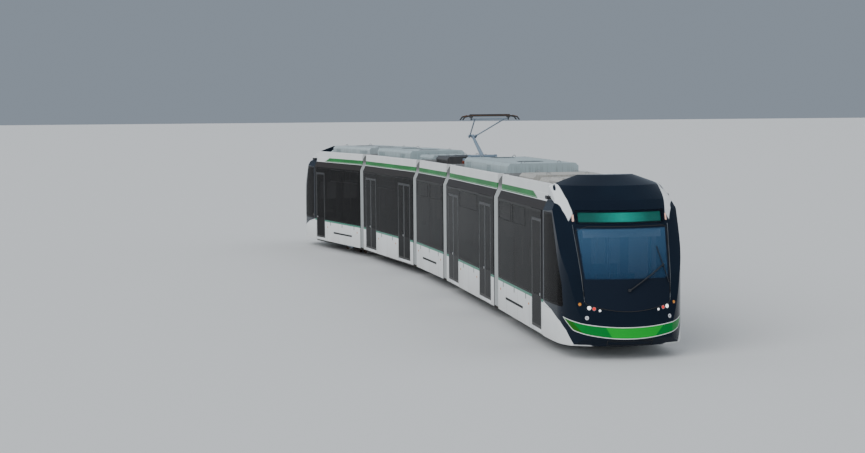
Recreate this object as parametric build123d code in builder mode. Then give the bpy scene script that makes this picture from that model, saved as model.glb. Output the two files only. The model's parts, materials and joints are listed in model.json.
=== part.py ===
from build123d import *
import os
from math import atan2, cos, degrees, hypot, radians, sin, sqrt

# A five-section low-floor tram, standing in a gentle left-hand curve.
# Each section is drawn in its own frame: X forward along the section, Y to its left, Z up from the floor that
# the wheel flanges stand on. The end sections have X = 0 on their pivot and X positive towards the nose; the
# others have X = 0 halfway between their two pivots. The last part of the file sets the sections on the curve.

# Sizes along the tram
end_length = 7000  # pivot to nose
door_section_length = 6600  # pivot to pivot
middle_length = 4200
pivot_gap = 270  # from a pivot to the end of the body beside it

# The body's cross-section
body_width = 2650
wall = 70
skirt_z = 300
waist_z = 1040
window_top_z = 2915
cant_z = 3130
cant_lean = 100  # how far the wall leans in between window top and cant rail
cove_lean = 25
cove_top_z = 3470
cove_width = 80
deck_z = 3280
roof_end_plate = 50
seat_gap = 0.3  # between faces that touch on the real tram
glass = 12

# Floor
floor_top_z = 380
floor_depth = 140
bogie_floor_z = 470
ramp = 500

# Doors and windows
door_bottom_z = 390
door_top_z = 2715
door_leaf = 42
double_door = 1360
single_door = 910
door_inset = 590  # from a pivot to the double door's near edge
single_door_back = 180  # from the cab's seam to the single door's front edge
leaf_gap = 8
leaf_frame = 62
window_frame = 60
pane_gap = 8
slot_length = 1900
slot_height = 60
slot_z = 640
slot_depth = 14

# Cab
cab_length = 2000
nose_radius = 2300  # the nose is turned about an upright line this far behind its tip
cab_bottom_z = 290
shoulder_back = 950  # the side walls run nearly straight to here, then curve round to the nose corner
cab_shoulder_y = 1283
corner_back = 150
nose_corner_y = 860
mask_thickness = 60
dome_z = 3640
screen_bottom_z = 985
screen_sag = 150  # how far its lower corners stand above its middle
screen_top_z = 2600
screen_half_width = 955
screen_corner = 70
display_bottom_z = 2705
display_top_z = 2940
display_width = 1790
light_top_z = 2899
clear_bottom_z = 1620
face_depth = 1080
apron_top_z = 930
lens_depth = 30
wiper_z = 1400
wiper_arm_width = 20
arm_low, arm_high = 20, 38
wiper_blade_width = 14
blade_low, blade_high = 10, 24
pod_ahead = 190  # from the cab's seam
pod_y = 1300
pod_z = 3190
cab_door_low_z = 400
cab_door_high_z = 2400
cab_door_width = 640

# Running gear
tread_radius = 300
flange_depth = 25
gauge_face = 690  # inner face of a wheel from the centre line
flange_thickness = 30
wheel_width = 125
axle_radius = 70
hub_radius = 90
hub_face = 872
journal_radius = 55
wheelbase = 1800
end_bogie_x = 2050
beam_y = 980
beam_width = 130
well_half = 380  # the box over each wheel
well_width = 215
well_wall = 15
well_top_z = 700
running_gap = 0.08
track_brake_y = 752
motor_y = 330
motor_radius = 130

# Pivots
pivot_pin_radius = 60
pivot_eye_radius = 130
turntable_radius = 520
turntable_clearance = 6
bellows_inset = 25
fold_depth = 70
fold_wall = 38
folds = 5
bellows_top_z = 3430

# Roof cases
louvre_pitch = 60
fan_radius = 330
fan_hub_radius = 110
fan_depth = 45

# Pantograph
mast_back = 1000  # from the forward pivot
mast_base_z = 3650
lower_arm_length = 1300
upper_arm_length = 2100
lower_arm_angle = 25
upper_arm_angle = 14
arm_root_radius = 56
mast_pin_radius = 22
head_width = 1600
rod_base_back = 75.0  # the thrust rod's lower pin, behind and below the lower arm's
rod_base_drop = 55.8
rod_y = 62  # the rod runs beside the lower arm
tail_length = 60  # from the knee to the eye of the thrust rod, behind and below it
tail_angle = 43.03
rod_radius = 14
rod_pin_radius = 10
tail_pin_radius = 8
eye_play = 4  # the upper eye is loose on its pin
rod_eye_width = 32
knee_pin_radius = 20
knee_plate_y = 95
knee_plate = 30

# Directions of the sections against the middle one, in degrees, as the tram stands in the curve
heading = {"front": -2.9, "fore": -1.9, "middle": 0.0, "aft": 4.4, "rear": 10.5}

half = body_width / 2
axle_z = tread_radius + flange_depth
door_section_end = door_section_length / 2 - pivot_gap
middle_end = middle_length / 2 - pivot_gap
cove_y = half - cant_lean
inner_y = half - wall
cab_seam_x = end_length - cab_length
cab_axis_x = end_length - nose_radius
cab_shoulder_x = end_length - shoulder_back
nose_corner_x = end_length - corner_back
face_start_x = end_length - face_depth
single_door_x = cab_seam_x - single_door_back
pod_x = cab_seam_x + pod_ahead
mast_base_x = middle_length / 2 - mast_back
pieces = {}  # node name: (part, section)


def keep(name, section, built):
    pieces[name] = (built.part, section)


def side_walls(x_low, x_high, doors, windows, slot_x=None):
    """Both side walls of a section, each with a rebate for its glazing, window and door openings."""
    with BuildPart() as walls:
        with BuildSketch(Plane.YZ.offset(x_low)):
            with BuildLine():
                Polyline(
                    (half, skirt_z),
                    (half, window_top_z),
                    (cove_y, cant_z),
                    (cove_y - wall, cant_z),
                    (inner_y, window_top_z),
                    (inner_y, skirt_z),
                    close=True,
                )
            make_face()
        extrude(amount=x_high - x_low)
        middle_x = (x_low + x_high) / 2
        glazing = glass + seat_gap
        with Locations((middle_x, half - glazing / 2, (waist_z + window_top_z) / 2)):
            Box(x_high - x_low, glazing, window_top_z - waist_z, mode=Mode.SUBTRACT)
        for low, high in windows:
            with Locations(((low + high) / 2, half - wall / 2, (waist_z + window_top_z) / 2)):
                Box(
                    high - low - 2 * window_frame,
                    2 * wall,
                    window_top_z - waist_z - 2 * window_frame,
                    mode=Mode.SUBTRACT,
                )
        for low, high in doors:
            with Locations(((low + high) / 2, half - wall / 2, (door_bottom_z + door_top_z) / 2)):
                Box(high - low, 2 * wall, door_top_z - door_bottom_z, mode=Mode.SUBTRACT)
        if slot_x is not None:
            with Locations((slot_x, half, slot_z)):
                Box(slot_length, 2 * slot_depth, slot_height, mode=Mode.SUBTRACT)
        mirror(about=Plane.XZ)
    return walls


def glazing_panes(panes, lintels, leaves):
    """The flush outer panes of both sides, the strips above the doors, and the door leaves' own panes."""
    with BuildPart() as built:
        for low, high in panes:
            with BuildSketch(Plane.XZ.offset(-half)):
                with Locations(((low + high) / 2, (waist_z + window_top_z) / 2)):
                    Rectangle(high - low - pane_gap, window_top_z - waist_z - 2 * seat_gap)
            extrude(amount=glass)
        for low, high in lintels:
            with BuildSketch(Plane.XZ.offset(-half)):
                with Locations(((low + high) / 2, (door_top_z + window_top_z) / 2)):
                    Rectangle(high - low - pane_gap, window_top_z - door_top_z - 2 * pane_gap)
            extrude(amount=glass)
        for low, high in leaves:
            with BuildSketch(Plane.XZ.offset(-half)):
                with Locations(((low + high) / 2, (door_bottom_z + door_top_z) / 2)):
                    Rectangle(
                        high - low - leaf_gap - 2 * leaf_frame - 2 * seat_gap,
                        door_top_z - door_bottom_z - 2 * leaf_frame - 2 * seat_gap,
                    )
            extrude(amount=glass)
        mirror(about=Plane.XZ)
    return built


def door_leaves(leaves):
    """Framed door leaves for both sides, standing on their sills."""
    with BuildPart() as built:
        for low, high in leaves:
            with BuildSketch(Plane.XZ.offset(-half)):
                with Locations(((low + high) / 2, (door_bottom_z + door_top_z) / 2)):
                    Rectangle(high - low - leaf_gap, door_top_z - door_bottom_z - 2 * seat_gap)
                    Rectangle(
                        high - low - leaf_gap - 2 * leaf_frame,
                        door_top_z - door_bottom_z - 2 * leaf_frame,
                        mode=Mode.SUBTRACT,
                    )
            extrude(amount=door_leaf)
        mirror(about=Plane.XZ)
    return built


def roof(x_low, x_high, plated_ends):
    """The roof deck between its two white coves, with an upright plate at each end that meets a bellows."""
    with BuildPart() as built:
        with BuildSketch(Plane.YZ.offset(x_low)) as section:
            with BuildLine():
                Polyline(
                    (0, cant_z + seat_gap),
                    (cove_y, cant_z + seat_gap),
                    (cove_y - cove_lean, cove_top_z),
                    (cove_y - cove_lean - cove_width, cove_top_z),
                    (cove_y - cove_lean - cove_width, deck_z),
                    (0, deck_z),
                    close=True,
                )
            make_face()
            fillet(section.vertices().group_by(Axis.Y)[-1], cove_width * 0.45)
            mirror(about=Plane.YZ)
        extrude(amount=x_high - x_low)
        for x in plated_ends:
            with Locations((x, 0, (deck_z + cove_top_z) / 2)):
                Box(roof_end_plate, 2 * (cove_y - cove_lean - cove_width / 2), cove_top_z - deck_z)
    return built


def seat_row(x, facing, y, z, rise):
    """One double seat: a pan, a back and its plinth, facing forwards (1) or backwards (-1)."""
    with BuildPart() as seat:
        with BuildSketch(Plane.XZ.offset(-y - 880)):
            with BuildLine():
                Polyline(
                    (x + 30 * facing, z),
                    (x + 330 * facing, z),
                    (x + 350 * facing, z + rise),
                    (x + 420 * facing, z + rise + 20),
                    (x + 420 * facing, z + rise + 75),
                    (x + 50 * facing, z + rise + 60),
                    (x - 50 * facing, z + rise + 600),
                    (x - 95 * facing, z + rise + 595),
                    close=True,
                )
            make_face()
        extrude(amount=880)
    return seat.part


def poles(places, z):
    """Grab poles from the floor to the ceiling."""
    with BuildPart() as built:
        for x, y in places:
            with BuildSketch(Plane.XY.offset(z + seat_gap)):
                with Locations((x, y)):
                    Circle(17)
            extrude(amount=cant_z - z - seat_gap)
    return built.part


def turntable(x, outward):
    """The round gangway plate and the two lugs that hold a pivot pin at x; outward is where the body lies not."""
    reach = pivot_gap + 200
    with BuildPart() as built:
        with BuildSketch(Plane.XY.offset(floor_top_z - 20)):
            with Locations((x, 0)):
                Circle(turntable_radius)
        extrude(amount=20)
        for low in (floor_top_z - floor_depth, floor_top_z - 48):
            with BuildSketch(Plane.XY.offset(low)):
                with Locations((x, 0)):
                    Circle(pivot_eye_radius)
                with Locations((x - outward * reach / 2, 0)):
                    Rectangle(reach, 2 * pivot_eye_radius)
            extrude(amount=28)
        with BuildSketch(Plane.XY.offset(floor_top_z - floor_depth)):
            with Locations((x, 0)):
                Circle(pivot_pin_radius)
        extrude(amount=floor_depth - 20)
    return built.part


def tongue(x, outward):
    """The eye that turns on a neighbour's pivot pin at x."""
    reach = pivot_gap + turntable_radius
    low = floor_top_z - floor_depth + 28 + running_gap
    high = floor_top_z - 48 - running_gap
    with BuildPart() as built:
        with BuildSketch(Plane.XY.offset(low)):
            with Locations((x, 0)):
                Circle(pivot_eye_radius - 8)
            with Locations((x - outward * reach / 2, 0)):
                Rectangle(reach, 2 * pivot_eye_radius - 60)
            with Locations((x, 0)):
                Circle(pivot_pin_radius + running_gap, mode=Mode.SUBTRACT)
        extrude(amount=high - low)
    return built.part


# The end section, drawn once and used at both ends
end_doors = [(single_door_x - single_door, single_door_x)]
end_windows = [
    (pivot_gap, (pivot_gap + single_door_x - single_door) / 2),
    ((pivot_gap + single_door_x - single_door) / 2, single_door_x - single_door),
]
end_walls = side_walls(pivot_gap, cab_seam_x, end_doors, end_windows, end_bogie_x)
end_glass = glazing_panes(end_windows, end_doors, end_doors)
end_leaves = door_leaves(end_doors)
end_roof = roof(pivot_gap, cab_seam_x, [pivot_gap + roof_end_plate / 2])


# The nose's outline on the centre plane, from the bumper to the crown
nose_profile = [
    # height, how far forward the nose lies there
    (cab_bottom_z, end_length - 120),
    (440, end_length),
    (700, end_length),
    (970, end_length - 48),
    (1700, end_length - 172),
    (2960, end_length - 624),
    (cant_z + 30, end_length - 765),
    (cove_top_z - 30, end_length - 1110),
    (dome_z, end_length - 1640),
]


def nose_reach(z):
    """How far forward of the cab's upright axis its nose lies at a height."""
    for lower, upper in zip(nose_profile, nose_profile[1:]):
        if lower[0] <= z <= upper[0]:
            share = (z - lower[0]) / (upper[0] - lower[0])
            return lower[1] + share * (upper[1] - lower[1]) - cab_axis_x


def cab_volume(inset):
    """The cab with every face moved in by inset: a turned nose, cut to its plan and then to its cross-section."""
    back = cab_seam_x + seat_gap + inset
    with BuildPart() as built:
        with BuildSketch(Plane.XZ):
            with BuildLine():
                Polyline(
                    (cab_axis_x + 100, cab_bottom_z),
                    *[(x, z) for z, x in nose_profile],
                    (cab_axis_x + 100, dome_z),
                    close=True,
                )
            make_face()
            if inset:
                offset(amount=-inset, kind=Kind.INTERSECTION, mode=Mode.REPLACE)
        revolve(axis=Axis((cab_axis_x, 0, 0), (0, 0, 1)))
        with BuildSketch():
            with BuildLine():
                Line((back, 0), (back, half - inset))
                side = TangentArc((back, half - inset), (cab_shoulder_x, cab_shoulder_y - inset), tangent=(1, 0))
                TangentArc(side @ 1, (nose_corner_x - inset, nose_corner_y - inset / 2), tangent=side % 1)
                Line((nose_corner_x - inset, nose_corner_y - inset / 2), (end_length + 300, nose_corner_y - 360))
                Line((end_length + 300, nose_corner_y - 360), (end_length + 300, 0))
                Line((end_length + 300, 0), (back, 0))
            make_face()
            mirror(about=Plane.XZ)
        extrude(amount=dome_z + 100, mode=Mode.INTERSECT)
        with BuildSketch(Plane.YZ.offset(cab_seam_x)):
            with BuildLine():
                Polyline(
                    (0, 0),
                    (half - inset, 0),
                    (half - inset, window_top_z),
                    (cove_y - inset, cant_z),
                    (cove_y - 40 - inset, cove_top_z - inset / 4),
                    (cove_y - 200 - inset / 2, dome_z - inset),
                    (0, dome_z + 60 - inset),
                    close=True,
                )
            make_face()
            mirror(about=Plane.YZ)
        extrude(amount=end_length, mode=Mode.INTERSECT)
    return built.part


outer_cab = cab_volume(0)
inner_cab = cab_volume(mask_thickness)
pane_cab = cab_volume(glass)
rebate_cab = cab_volume(glass + seat_gap)
lens_cab = cab_volume(lens_depth)
lining_cab = cab_volume(mask_thickness + seat_gap)


def screen_outline(grow):
    """The windscreen pane seen from the front, down to the curved edge above the headlamps, and the display's."""
    with BuildSketch(Plane.YZ.offset(face_start_x)) as outline:
        with BuildLine():
            side = screen_half_width + grow
            low = screen_bottom_z + screen_sag - grow
            high = screen_top_z + 50 + grow
            ThreePointArc((-side + 90, low), (0, screen_bottom_z - grow), (side - 90, low))
            Line((side - 90, low), (side, high))
            Line((side, high), (-side, high))
            Line((-side, high), (-side + 90, low))
        make_face()
        fillet(outline.vertices(), screen_corner)
        with Locations((0, (display_bottom_z + display_top_z) / 2 + 10)):
            display_height = display_top_z - display_bottom_z
            RectangleRounded(display_width + 60 + 2 * grow, display_height + 40 + 2 * grow, 30)
    return outline.sketch


def side_light_outline(grow):
    """The cab's side window, its front edge leaning with the windscreen."""
    with BuildSketch(Plane.XZ.offset(-half - 50)) as outline:
        with BuildLine():
            Polyline(
                (cab_seam_x + 80 - grow, waist_z + 10 - grow),
                (end_length - 670 + grow, waist_z + 10 - grow),
                (end_length - 720 + grow, 1500),
                (end_length - 1280 + grow, light_top_z + grow),
                (cab_seam_x + 80 - grow, light_top_z + grow),
                close=True,
            )
        make_face()
        fillet(outline.vertices(), 50)
    return outline.sketch


def cab_skin(inner, grow):
    """The outer layer of the cab inside the outlines of its windscreen and side windows."""
    with BuildPart() as panes:
        extrude(screen_outline(grow), amount=1100, dir=(1, 0, 0))
        extrude(side_light_outline(grow), amount=body_width + 100, dir=(0, -1, 0))
        add(outer_cab, mode=Mode.INTERSECT)
        add(inner, mode=Mode.SUBTRACT)
    return panes.part


lamp_places = [
    # y, z, radius
    (800, 1062, 36),
    (708, 1046, 30),
    (600, 1012, 20),
    (850, 866, 34),
    (968, 2770, 20),
    (968, 2850, 20),
]


def lamp_bores():
    """Round bars through the face where its lamps stand."""
    with BuildPart() as bores:
        for y, z, radius in lamp_places:
            with BuildSketch(Plane.YZ.offset(face_start_x)):
                with Locations((y, z), (-y, z)):
                    Circle(radius)
            extrude(amount=end_length - face_start_x)
    return bores.part


# Cab pieces: the glossy mask above, the apron below, glass, lamps
with BuildPart() as shell:
    add(outer_cab)
    add(inner_cab, mode=Mode.SUBTRACT)
    add(cab_skin(rebate_cab, pane_gap / 2), mode=Mode.SUBTRACT)
    with BuildSketch(Plane.YZ.offset(face_start_x)):
        with Locations((0, (clear_bottom_z + screen_top_z) / 2)):
            RectangleRounded(2 * screen_half_width - 200, screen_top_z - clear_bottom_z, screen_corner)
        with Locations((0, (display_bottom_z + display_top_z) / 2)):
            Rectangle(display_width, display_top_z - display_bottom_z)
    extrude(amount=1100, mode=Mode.SUBTRACT)
    extrude(side_light_outline(-window_frame), amount=body_width + 100, dir=(0, -1, 0), mode=Mode.SUBTRACT)
    with Locations((cab_seam_x, 0, (cab_door_low_z + cab_door_high_z) / 2)):
        Box(400, cab_door_width, cab_door_high_z - cab_door_low_z, mode=Mode.SUBTRACT)
    with Locations((cab_seam_x, 800, 1800), (cab_seam_x, -800, 1800)):
        Box(400, 620, 1100, mode=Mode.SUBTRACT)
    with BuildSketch(Plane.YZ.offset(face_start_x)):
        for lamp_y, lamp_z, lamp_radius in lamp_places:
            with Locations((lamp_y, lamp_z), (-lamp_y, lamp_z)):
                Circle(lamp_radius + seat_gap)
    extrude(amount=end_length - face_start_x, mode=Mode.SUBTRACT)

with BuildPart() as mask:
    add(shell)
    split(bisect_by=Plane.XY.offset(apron_top_z + seat_gap), keep=Keep.TOP)
with BuildPart() as apron:
    add(shell)
    split(bisect_by=Plane.XY.offset(apron_top_z), keep=Keep.BOTTOM)
with BuildPart() as lamps:
    add(outer_cab)
    add(lens_cab, mode=Mode.SUBTRACT)
    add(lamp_bores(), mode=Mode.INTERSECT)
with BuildPart() as cab_glass:
    add(end_glass)
    add(cab_skin(pane_cab, 0))

# Bodies of the bogies and wheelsets
with BuildPart() as wheelset:
    with BuildSketch(Plane.YZ):
        with BuildLine():
            Polyline(
                (0, axle_z),
                (0, axle_z + axle_radius),
                (gauge_face, axle_z + axle_radius),
                (gauge_face, axle_z + tread_radius + flange_depth),
                (gauge_face + 18, axle_z + tread_radius + flange_depth),
                (gauge_face + flange_thickness, axle_z + tread_radius),
                (gauge_face + wheel_width, axle_z + tread_radius - 5),
                (hub_face - 96, axle_z + tread_radius - 60),
                (hub_face - 96, axle_z + hub_radius + 30),
                (hub_face, axle_z + hub_radius),
                (hub_face, axle_z + journal_radius),
                (beam_y + beam_width / 2 - 6, axle_z + journal_radius),
                (beam_y + beam_width / 2 - 6, axle_z),
                close=True,
            )
        make_face()
    revolve(axis=Axis((0, 0, axle_z), (0, 1, 0)))
    mirror(about=Plane.XZ)


def bogie(x):
    """The frame that carries two wheelsets: side beams outside the wheels, cross beams, axle boxes, pads."""
    with BuildPart() as built:
        with BuildSketch(Plane.XZ.offset(-beam_y - beam_width / 2)):
            with BuildLine():
                Polyline(
                    (x - wheelbase / 2 - 170, 250),
                    (x - wheelbase / 2 + 150, 250),
                    (x - 430, 170),
                    (x + 430, 170),
                    (x + wheelbase / 2 - 150, 250),
                    (x + wheelbase / 2 + 170, 250),
                    (x + wheelbase / 2 + 170, 400),
                    (x + wheelbase / 2 + 60, 418),
                    (x - wheelbase / 2 - 60, 418),
                    (x - wheelbase / 2 - 170, 400),
                    close=True,
                )
            make_face()
            with Locations((x - wheelbase / 2, axle_z), (x + wheelbase / 2, axle_z)):
                Circle(journal_radius + running_gap, mode=Mode.SUBTRACT)
        extrude(amount=beam_width)
        with Locations((x - 260, beam_y / 2, 260), (x + 260, beam_y / 2, 260)):
            Box(120, beam_y, 130)
        with Locations((x, beam_y, 424)):
            Box(500, beam_width, 12 - 2 * seat_gap)
        with Locations((x, track_brake_y, 70)):
            Box(560, 76, 80)
        with Locations((x - 260, track_brake_y, 150), (x + 260, track_brake_y, 150)):
            Box(50, 50, 120)
        with BuildSketch(Plane.YZ.offset(x - 300)):
            with Locations((motor_y, 262)):
                Circle(motor_radius)
        extrude(amount=600)
        mirror(about=Plane.XZ)
    return built.part


def bogie_floor(x_low, x_high, x):
    """A floor plate that rises over a bogie, with a box over each wheel."""
    rise_low, rise_high = x - wheelbase / 2 - 480, x + wheelbase / 2 + 480
    under = bogie_floor_z - 40
    with BuildPart() as built:
        with BuildSketch(Plane.XZ.offset(-inner_y + seat_gap)):
            with BuildLine():
                Polyline(
                    (x_low, floor_top_z - floor_depth),
                    (rise_low - 60, floor_top_z - floor_depth),
                    (rise_low - 60, floor_top_z - 40),
                    (rise_low + 60, under),
                    (rise_high - 60, under),
                    (rise_high + 60, floor_top_z - 40),
                    (rise_high + 60, floor_top_z - floor_depth),
                    (x_high, floor_top_z - floor_depth),
                    (x_high, floor_top_z),
                    (rise_high + 60, floor_top_z),
                    (rise_high - 60, bogie_floor_z),
                    (rise_low + 60, bogie_floor_z),
                    (rise_low - 60, floor_top_z),
                    (x_low, floor_top_z),
                    close=True,
                )
            make_face()
        extrude(amount=2 * (inner_y - seat_gap))
        wells = [
            (x + side * wheelbase / 2, lane * (gauge_face + wheel_width / 2), (under + well_top_z) / 2)
            for side in (-1, 1)
            for lane in (-1, 1)
        ]
        with Locations(*wells):
            Box(2 * (well_half + well_wall), well_width + 2 * well_wall, well_top_z - under + 2 * well_wall)
        with Locations(*wells):
            Box(2 * well_half, well_width, well_top_z - under + 0.01, mode=Mode.SUBTRACT)
        with Locations((x, 0, under - well_wall)):
            Box(2 * (rise_high - x - 60), 2 * inner_y, 2 * well_wall, mode=Mode.SUBTRACT)
    return built.part


# End section
with BuildPart() as end_floor:
    add(bogie_floor(pivot_gap + seat_gap, cab_seam_x, end_bogie_x))
    add(turntable(0, -1))
with BuildPart() as cab_floor:
    with BuildSketch(Plane.XY.offset(floor_top_z - 60)):
        Rectangle(4 * end_length, 2 * body_width)
    extrude(amount=60)
    add(lining_cab, mode=Mode.INTERSECT)
with BuildPart() as end_floors:
    add(end_floor)
    add(cab_floor)

with BuildPart() as display:
    with Locations((face_start_x + 250, 0, (display_bottom_z + display_top_z) / 2)):
        Box(500, display_width - 60, display_top_z - display_bottom_z)
    add(lining_cab, mode=Mode.INTERSECT)
    with Locations((face_start_x, 0, (display_bottom_z + display_top_z) / 2)):
        Box(300, display_width + 100, 500, mode=Mode.SUBTRACT)

with BuildPart() as end_interior:
    for seat_x, facing in ((end_bogie_x - 1000, 1), (end_bogie_x + 1000, -1)):
        for seat_y in (-1180, 300):
            add(seat_row(seat_x, facing, seat_y, well_top_z + well_wall + seat_gap, 40))
    for seat_y in (-1180, 300):
        add(seat_row(end_bogie_x - 250, 1, seat_y, bogie_floor_z + seat_gap, 380))
    with BuildSketch(Plane.XZ.offset(-820)):
        with BuildLine():
            Polyline(
                (end_length - 770, floor_top_z + seat_gap),
                (end_length - 440, floor_top_z + seat_gap),
                (end_length - 360, 1000),
                (end_length - 440, 1180),
                (end_length - 620, 1240),
                (end_length - 820, 1130),
                (end_length - 820, 1080),
                (end_length - 670, 1020),
                close=True,
            )
        make_face()
    extrude(amount=1640)
    add(seat_row(end_length - 1440, 1, -440, floor_top_z + seat_gap, 400))
    add(display)
    pole_rows = [(pivot_gap + 250, 520), (single_door_x - 1260, 480), (single_door_x - 120, 560)]
    add(poles([(x, side * y) for x, y in pole_rows for side in (1, -1)], floor_top_z))

skin_cab = cab_volume(-seat_gap)


def face_x(y, z):
    """How far forward the cab's front skin lies at a height and at a distance from the middle."""
    return cab_axis_x + sqrt(nose_reach(z) ** 2 - y**2)


def camera_pod(side):
    """The small camera housing that stands out from the cab's shoulder."""
    with BuildPart() as built:
        with BuildSketch(Plane.XZ.offset(-side * pod_y)):
            with Locations((pod_x, pod_z)):
                SlotOverall(190, 76)
        extrude(amount=side * 170, taper=8)
        add(skin_cab, mode=Mode.SUBTRACT)
    return built.part


def screen_bar(start, finish, width, low, high):
    """A bar that looks straight from the front and follows the screen between two heights over it."""
    across, rise = finish[0] - start[0], finish[1] - start[1]
    with BuildPart() as built:
        with BuildSketch(Plane.YZ.offset(cab_shoulder_x)):
            with Locations(((start[0] + finish[0]) / 2, (start[1] + finish[1]) / 2)):
                Rectangle(hypot(across, rise), width, rotation=degrees(atan2(rise, across)))
        extrude(amount=end_length + high - cab_shoulder_x)
        add(cab_volume(-high), mode=Mode.INTERSECT)
        add(cab_volume(-low), mode=Mode.SUBTRACT)
    return built.part


hub_tilt = atan2(nose_reach(wiper_z - 50) - nose_reach(wiper_z + 50), 100)
with BuildPart() as end_fittings:
    with BuildSketch(
        Plane(origin=(face_x(0, wiper_z) + 0.6, 0, wiper_z), z_dir=(cos(hub_tilt), 0, sin(hub_tilt)))
    ):
        Circle(30)
    extrude(amount=arm_high - 2)
    add(screen_bar((0, wiper_z), (785, 1901), wiper_arm_width, arm_low, arm_high))
    add(screen_bar((655, 2250), (870, 1530), wiper_blade_width, blade_low, blade_high))
    add(camera_pod(-1))
    add(camera_pod(1))


def roof_case(x, length, width, height, louvres=(), fans=()):
    """A roof equipment case with bevelled upper edges, louvres in both sides and round fan wells on top."""
    low = deck_z + seat_gap
    with BuildPart() as built:
        with BuildSketch(Plane.YZ.offset(x - length / 2)) as profile:
            with Locations((0, low + height / 2)):
                Rectangle(width, height)
            chamfer(profile.vertices().group_by(Axis.Y)[-1], 70)
        extrude(amount=length)
        for start, count in louvres:
            slots = [(start + louvre_pitch * step, side * width / 2) for step in range(count) for side in (-1, 1)]
            with Locations(*[(slot_x, slot_y, low + height / 2 - 20) for slot_x, slot_y in slots]):
                Box(louvre_pitch * 0.6, 40, height - 180, mode=Mode.SUBTRACT)
        for fan_x in fans:
            with BuildSketch(Plane.XY.offset(low + height)):
                with Locations((fan_x, 0)):
                    Circle(fan_radius)
                    Circle(fan_hub_radius, mode=Mode.SUBTRACT)
            extrude(amount=-fan_depth, mode=Mode.SUBTRACT)
    return built.part


with BuildPart() as front_roof_gear:
    add(roof_case(1250, 1500, 1700, 230, louvres=[(700, 14)]))
    add(roof_case(2950, 1600, 1500, 190, fans=[2500, 3350]))
    add(roof_case(cab_seam_x - 620, 1000, 1860, 270, louvres=[(cab_seam_x - 950, 10)]))
with BuildPart() as rear_roof_gear:
    add(roof_case(2300, 3700, 1760, 390, louvres=[(700, 12), (3400, 8)], fans=[1300, 3200]))
    add(roof_case(cab_seam_x - 450, 600, 1500, 220))

end_pieces = {
    "floor": end_floors,
    "sides": end_walls,
    "roof": end_roof,
    "doors": end_leaves,
    "glass": cab_glass,
    "mask": mask,
    "apron": apron,
    "lamps": lamps,
    "interior": end_interior,
    "fittings": end_fittings,
}
for section in ("front", "rear"):
    for name, built in end_pieces.items():
        keep(section + "_" + name, section, built)
with BuildPart() as end_bogie:
    add(bogie(end_bogie_x))
keep("front_roof_gear", "front", front_roof_gear)
keep("rear_roof_gear", "rear", rear_roof_gear)
keep("front_bogie", "front", end_bogie)
keep("rear_bogie", "rear", end_bogie)

# Door sections
door_edge = door_section_length / 2 - door_inset
door_inner_edge = door_edge - double_door
door_middle = door_edge - double_door / 2
section_doors = [(-door_edge, -door_edge + double_door), (door_edge - double_door, door_edge)]
section_leaves = [
    (low + step * double_door / 2, low + (step + 1) * double_door / 2)
    for low, high in section_doors
    for step in (0, 1)
]
section_window = [(-door_edge + double_door, door_edge - double_door)]
section_strips = [(-door_section_end, -door_edge), (door_edge, door_section_end)]
door_walls = side_walls(-door_section_end, door_section_end, section_doors, section_window)
door_glass = glazing_panes(section_window + section_strips, section_doors, section_leaves)
door_doors = door_leaves(section_leaves)
plate_x = door_section_end - roof_end_plate / 2
door_roof = roof(-door_section_end, door_section_end, [-plate_x, plate_x])
with BuildPart() as door_floor:
    with Locations((0, 0, floor_top_z - floor_depth / 2)):
        Box(2 * door_section_end - 2 * seat_gap, 2 * inner_y - 2 * seat_gap, floor_depth)
    for end in (-1, 1):
        with BuildSketch(Plane.XY.offset(floor_top_z - 26)):
            with Locations((end * door_section_length / 2, 0)):
                Circle(turntable_radius + turntable_clearance)
        extrude(amount=100, mode=Mode.SUBTRACT)
        add(tongue(end * door_section_length / 2, end))
with BuildPart() as door_seats:
    for seat_x, facing in ((200 - door_inner_edge, 1), (door_inner_edge - 200, -1), (-100, -1), (100, 1)):
        for seat_y in (-1180, 300):
            add(seat_row(seat_x, facing, seat_y, floor_top_z + seat_gap, 380))
    add(poles([(x, y) for x in (-door_middle, door_middle) for y in (-380, 380)], floor_top_z))
with BuildPart() as fore_roof_gear:
    long_case = 2 * (door_section_end - 380)
    add(roof_case(0, long_case, 1760, 400, louvres=[(580 - door_section_end, 12), (250, 9)], fans=[-1900, 1300]))
with BuildPart() as aft_roof_gear:
    long_case = 2 * door_section_end - 2060
    add(roof_case(-750, long_case, 1760, 400, louvres=[(530 - door_section_end, 12), (100, 9)], fans=[-1700, 300]))
    short_x = door_section_end - 830
    add(roof_case(short_x, 1400, 1300, 300, louvres=[(short_x - 400, 12)]))
for section in ("fore", "aft"):
    keep(section + "_floor", section, door_floor)
    keep(section + "_sides", section, door_walls)
    keep(section + "_roof", section, door_roof)
    keep(section + "_doors", section, door_doors)
    keep(section + "_glass", section, door_glass)
    keep(section + "_seats", section, door_seats)

keep("fore_roof_gear", "fore", fore_roof_gear)
keep("aft_roof_gear", "aft", aft_roof_gear)

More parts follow.
